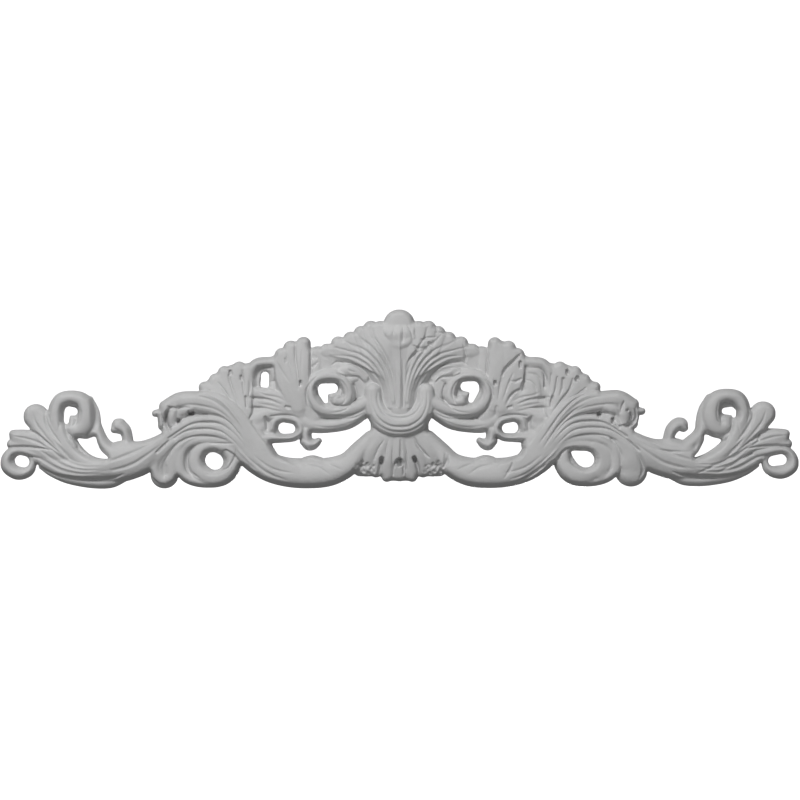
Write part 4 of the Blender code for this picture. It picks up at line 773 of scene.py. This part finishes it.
def collar(c):
    """The deep stirrup that holds the leaves together, with bands round its bowl."""
    def both_sides(values):
        """Values that run in to the middle, and back out."""
        return values + values[-2::-1]

    def round_bowl(half):
        """The right half of a route, joined to its mirror image."""
        return [(-out, up) for out, up in half[:-1]] + half[::-1]

    c.lay(round_bowl([(30.5, 10), (29.5, -5), (23, -19), (12, -26.5), (0, -28.5)]),
          both_sides([9, 11, 13, 14, 14.3]), both_sides([24, 26, 29, 30.5, 31]),
          both_sides([16, 16, 17, 18, 18]))
    for half, widths, depth in (
            ([(25, 9), (25, -3), (19, -14), (10, -19.5), (0, -21)], [1, 1.4, 1.9, 2.2, 2.4], 2.8),
            ([(31.5, 9), (31, -6), (25, -20), (13, -29), (0, -31)], [0.8, 1.2, 1.7, 2.1, 2.3], 2.4),
            ([(36, 8), (35.5, -8), (29, -24), (15, -34), (0, -36.5)], [0.6, 0.9, 1.2, 1.5, 1.6], 1.6)):
        c.cut(round_bowl(half), both_sides(widths), depth)


def top_knob(c):
    """The tip of the middle leaf, turned over at the top, with a pointed lower edge."""
    c.lay([(-24, 70), (-13, 67), (0, 62)], [3.2, 5.5, 5], [23, 26, 28], drop=3, blend=2)
    c.lay([(0, 62), (8, 66), (14, 72)], [5, 6.5, 6], [28.5, 28.5, 27], drop=7, blend=1)
    c.lay([(0, 68), (-0.5, 76), (-0.5, 86.2)], [11, 17, 18.3], [28, 28.5, 23], drop=4, blend=2)
    c.cut([(4, 83), (4.2, 75), (3.4, 66)], [1, 2.2, 1.2], 2.6)
    c.cut([(9, 86), (13, 78), (15, 69)], [0.8, 1.8, 1.4], 2)
    c.cut([(-5, 86), (-7.5, 75), (-6, 67)], [0.6, 1.6, 0.6], 1.2)
    c.cut([(-11, 84), (-14, 75)], [0.8, 1.4], 1)


def middle_rib(c):
    """The thin rib up the middle of the palmette."""
    c.cut([(0, -9), (0.3, 20), (0, 57), (0, 80)], [1, 1.4, 1.3, 0.8], -1.8)
    c.cut([(3.6, -8), (4, 18), (3.6, 46)], [1.2, 2, 0.8], 2.4)
    c.cut([(-3.4, -8), (-3.8, 18), (-5, 46)], [1, 1.5, 0.6], 1.4)


def carve():
    """The whole relief, from the back layers to the front ones."""
    c = Carving(0.5 * DRAWN_WIDTH + 3.0 * GRID, DRAWN_HALF_HEIGHT + 2.0 * GRID, GRID)
    half = (fan_webs, outer_fan, arched_leaf, inner_fan, side_lobes, hook, trunk_and_belly, arch_leaf,
            belly_folds, wing_stem, arch_grooves, end_leaf, wing_grooves, end_ring, upper_volute,
            curled_leaf, tongue, small_ring, oval_scroll, inner_volute, volute_lines, bud, palmette_half)
    for side in (-1, 1):
        c.face(side)
        for carve_piece in half:
            carve_piece(c)
    for carve_piece in (pendant, pendant_marks, collar, top_knob, middle_rib):
        carve_piece(c)
    c.soften_outline(NOTCH_ROUNDING)
    c.soften(CREASE_ROUNDING)
    return c


def add_object(name, data):
    """A new object in the scene."""
    item = bpy.data.objects.new(name, data)
    bpy.context.scene.collection.objects.link(item)
    return item


def set_inputs(node, values):
    """Give a shader node's inputs their values, by name."""
    for name, value in values.items():
        node.inputs[name].default_value = value


def cut_out_sheet(c):
    """The front surface with its straight sides, open at the back, as a mesh being edited."""
    front = c.surface()
    kept = c.cover > -1.5 * c.step
    number = np.full(kept.shape, -1)
    number[kept] = np.arange(kept.sum())
    rows, columns = np.nonzero(kept)
    points = np.column_stack([c.x[columns], c.cover[kept], c.z[rows]])
    corners = np.stack([number[:-1, :-1], number[:-1, 1:], number[1:, 1:], number[1:, :-1]], axis=-1)
    faces = corners[(corners >= 0).all(axis=-1)]
    mesh = bpy.data.meshes.new("sheet")
    mesh.from_pydata(points.tolist(), [], faces.tolist())
    bm = bmesh.new()
    bm.from_mesh(mesh)
    bpy.data.meshes.remove(mesh)
    loose = [vert for vert in bm.verts if not vert.link_faces]
    bmesh.ops.delete(bm, geom=loose, context='VERTS')
    whole = bm.verts[:] + bm.edges[:] + bm.faces[:]
    bmesh.ops.bisect_plane(bm, geom=whole, dist=1e-5, plane_co=(0, 0, 0), plane_no=(0, 1, 0),
                           clear_inner=True)
    for vert in bm.verts:
        if vert.is_boundary and abs(vert.co.y) < 1e-4:
            vert.co.y = -STRAIGHT_SIDE
        else:
            column = round((vert.co.x - c.x[0]) / c.step)
            row = round((vert.co.z - c.z[0]) / c.step)
            vert.co.y = -front[row, column]
    rim = [edge for edge in bm.edges if edge.is_boundary]
    side = bmesh.ops.extrude_edge_only(bm, edges=rim)
    for item in side['geom']:
        if isinstance(item, bmesh.types.BMVert):
            item.co.y = 0.0
    return bm


def reduced(bm):
    """The same surface with few enough triangles, made by a Decimate modifier."""
    mesh = bpy.data.meshes.new("sheet")
    bm.to_mesh(mesh)
    bm.free()
    sheet = add_object("sheet", mesh)
    decimate = sheet.modifiers.new("fewer", 'DECIMATE')
    decimate.ratio = min(1.0, SHEET_SHARE * TRIANGLES / (2.0 * len(mesh.polygons)))
    decimate.use_collapse_triangulate = True
    graph = bpy.context.evaluated_depsgraph_get()
    result = bpy.data.meshes.new_from_object(sheet.evaluated_get(graph))
    bpy.data.objects.remove(sheet)
    return result


def close_back(mesh):
    """Lay the open back on the wall plane, fill it, and bring the drawing into the solid's box."""
    bm = bmesh.new()
    bm.from_mesh(mesh)
    rim = [edge for edge in bm.edges if edge.is_boundary]
    for edge in rim:
        for vert in edge.verts:
            vert.co.y = 0.0
    bmesh.ops.triangle_fill(bm, edges=rim, use_beauty=True, use_dissolve=False)
    bmesh.ops.recalc_face_normals(bm, faces=bm.faces)
    low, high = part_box("applique")
    drawn = np.array([vert.co for vert in bm.verts])
    gaps = KEEP_INSIDE * np.array([2.0, 1.0, 2.0])
    bmesh.ops.scale(bm, verts=bm.verts, vec=(np.subtract(high, low) - gaps) / np.ptp(drawn, axis=0))
    lowest = min(vert.co.z for vert in bm.verts)
    leftmost = min(vert.co.x for vert in bm.verts)
    shift = Vector((low.x + KEEP_INSIDE - leftmost, 0.0, low.z + KEEP_INSIDE - lowest))
    bmesh.ops.translate(bm, verts=bm.verts, vec=shift)
    bm.to_mesh(mesh)
    bm.free()


def primed_casting():
    """Matte grey primer over a light casting: even in colour, very finely mottled and pitted."""
    material = bpy.data.materials.new("primed_casting")
    material.use_nodes = True
    nodes = material.node_tree.nodes
    links = material.node_tree.links
    shader = nodes["Principled BSDF"]
    shader.inputs["Metallic"].default_value = 0.0
    place = nodes.new("ShaderNodeTexCoord")

    cloud = nodes.new("ShaderNodeTexNoise")
    set_inputs(cloud, {"Scale": 24.0, "Detail": 5.0, "Roughness": 0.6})
    tint = nodes.new("ShaderNodeValToRGB")
    tint.color_ramp.elements[0].position = 0.3
    tint.color_ramp.elements[0].color = (0.52, 0.52, 0.52, 1.0)
    tint.color_ramp.elements[1].position = 0.7
    tint.color_ramp.elements[1].color = (0.60, 0.60, 0.60, 1.0)
    links.new(place.outputs["Object"], cloud.inputs["Vector"])
    links.new(cloud.outputs["Fac"], tint.inputs["Fac"])
    links.new(tint.outputs["Color"], shader.inputs["Base Color"])

    dull = nodes.new("ShaderNodeMapRange")
    set_inputs(dull, {"To Min": 0.62, "To Max": 0.82})
    links.new(cloud.outputs["Fac"], dull.inputs["Value"])
    links.new(dull.outputs["Result"], shader.inputs["Roughness"])

    grain = nodes.new("ShaderNodeTexNoise")
    set_inputs(grain, {"Scale": 300.0, "Detail": 4.0, "Roughness": 0.65})
    bump = nodes.new("ShaderNodeBump")
    set_inputs(bump, {"Strength": 0.5, "Distance": 0.0008})
    links.new(place.outputs["Object"], grain.inputs["Vector"])
    links.new(grain.outputs["Fac"], bump.inputs["Height"])
    links.new(bump.outputs["Normal"], shader.inputs["Normal"])
    return material


def add_applique():
    """The whole visual model: one carved relief in place of the solid."""
    mesh = reduced(cut_out_sheet(carve()))
    close_back(mesh)
    mesh.shade_smooth()
    mesh.set_sharp_from_angle(angle=math.radians(50.0))
    mesh.materials.append(primed_casting())
    piece = add_object("carved_relief", mesh)
    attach(piece, "root")
    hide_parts("applique")


def add_camera():
    """Square on to the relief, with the piece filling the width of the frame, as photographed."""
    data = bpy.data.cameras.new("camera")
    data.lens = 120.0
    data.sensor_width = 36.0
    camera = add_object("camera", data)
    distance = FRAME_WIDTH * data.lens / data.sensor_width + 0.001 * STRAIGHT_SIDE
    camera.location = (PHOTO_MIDDLE[0], -distance, PHOTO_MIDDLE[1])
    camera.rotation_euler = (math.radians(90.0), 0.0, 0.0)
    bpy.context.scene.camera = camera


def add_light(name, place, size, power, spread=180.0):
    """A round lamp aimed at the origin and unseen by the camera."""
    data = bpy.data.lights.new(name, 'AREA')
    data.shape = 'DISK'
    data.size = size
    data.energy = power
    data.spread = math.radians(spread)
    lamp = add_object(name, data)
    lamp.location = place
    lamp.rotation_euler = (-Vector(place)).to_track_quat('-Z', 'Y').to_euler()
    lamp.visible_camera = False


def add_studio():
    """Soft light from the upper left, a weaker one from the front, and one for the flat back."""
    world = bpy.data.worlds.new("studio")
    world.use_nodes = True
    set_inputs(world.node_tree.nodes["Background"], {"Color": (1.0, 1.0, 1.0, 1.0), "Strength": 0.17})
    bpy.context.scene.world = world
    add_light("key", place=(-0.75, -1.90, 1.65), size=0.9, power=47.0)
    add_light("front", place=(0.2, -3.4, 0.3), size=1.4, power=9.0)
    add_light("back", place=(0.3, 3.2, -0.4), size=0.8, power=3.2, spread=30.0)


def add_plane(name, size, place, turn, glow):
    """A pale stage plane that glows a little, so that it looks even, and throws no light."""
    pale = bpy.data.materials.new(name)
    pale.use_nodes = True
    set_inputs(pale.node_tree.nodes["Principled BSDF"],
               {"Base Color": (0.8, 0.8, 0.8, 1.0), "Roughness": 1.0,
                "Emission Color": (1.0, 1.0, 1.0, 1.0), "Emission Strength": glow})
    bpy.ops.mesh.primitive_plane_add(size=size, location=place, rotation=(math.radians(turn), 0.0, 0.0))
    plane = bpy.context.object
    plane.name = name
    plane.visible_diffuse = False
    plane.visible_glossy = False
    plane.data.materials.append(pale)
    return plane


def add_backdrop():
    """A white wall some way behind the piece, and a pale floor far below it."""
    wall = add_plane("wall", size=14.0, place=(0.0, 4.0, 0.0), turn=90.0, glow=1.0)
    floor = add_plane("floor", size=12.0, place=(0.0, 0.0, -1.2), turn=0.0, glow=0.6)


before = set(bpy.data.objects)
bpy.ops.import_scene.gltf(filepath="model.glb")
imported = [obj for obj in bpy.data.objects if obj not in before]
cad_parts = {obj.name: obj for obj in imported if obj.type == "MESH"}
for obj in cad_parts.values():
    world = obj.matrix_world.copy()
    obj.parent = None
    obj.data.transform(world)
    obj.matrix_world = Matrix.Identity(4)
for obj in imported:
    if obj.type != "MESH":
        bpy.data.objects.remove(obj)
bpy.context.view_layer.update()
add_applique()
add_camera()
add_studio()
add_backdrop()
bpy.context.scene.view_settings.view_transform = 'Standard'
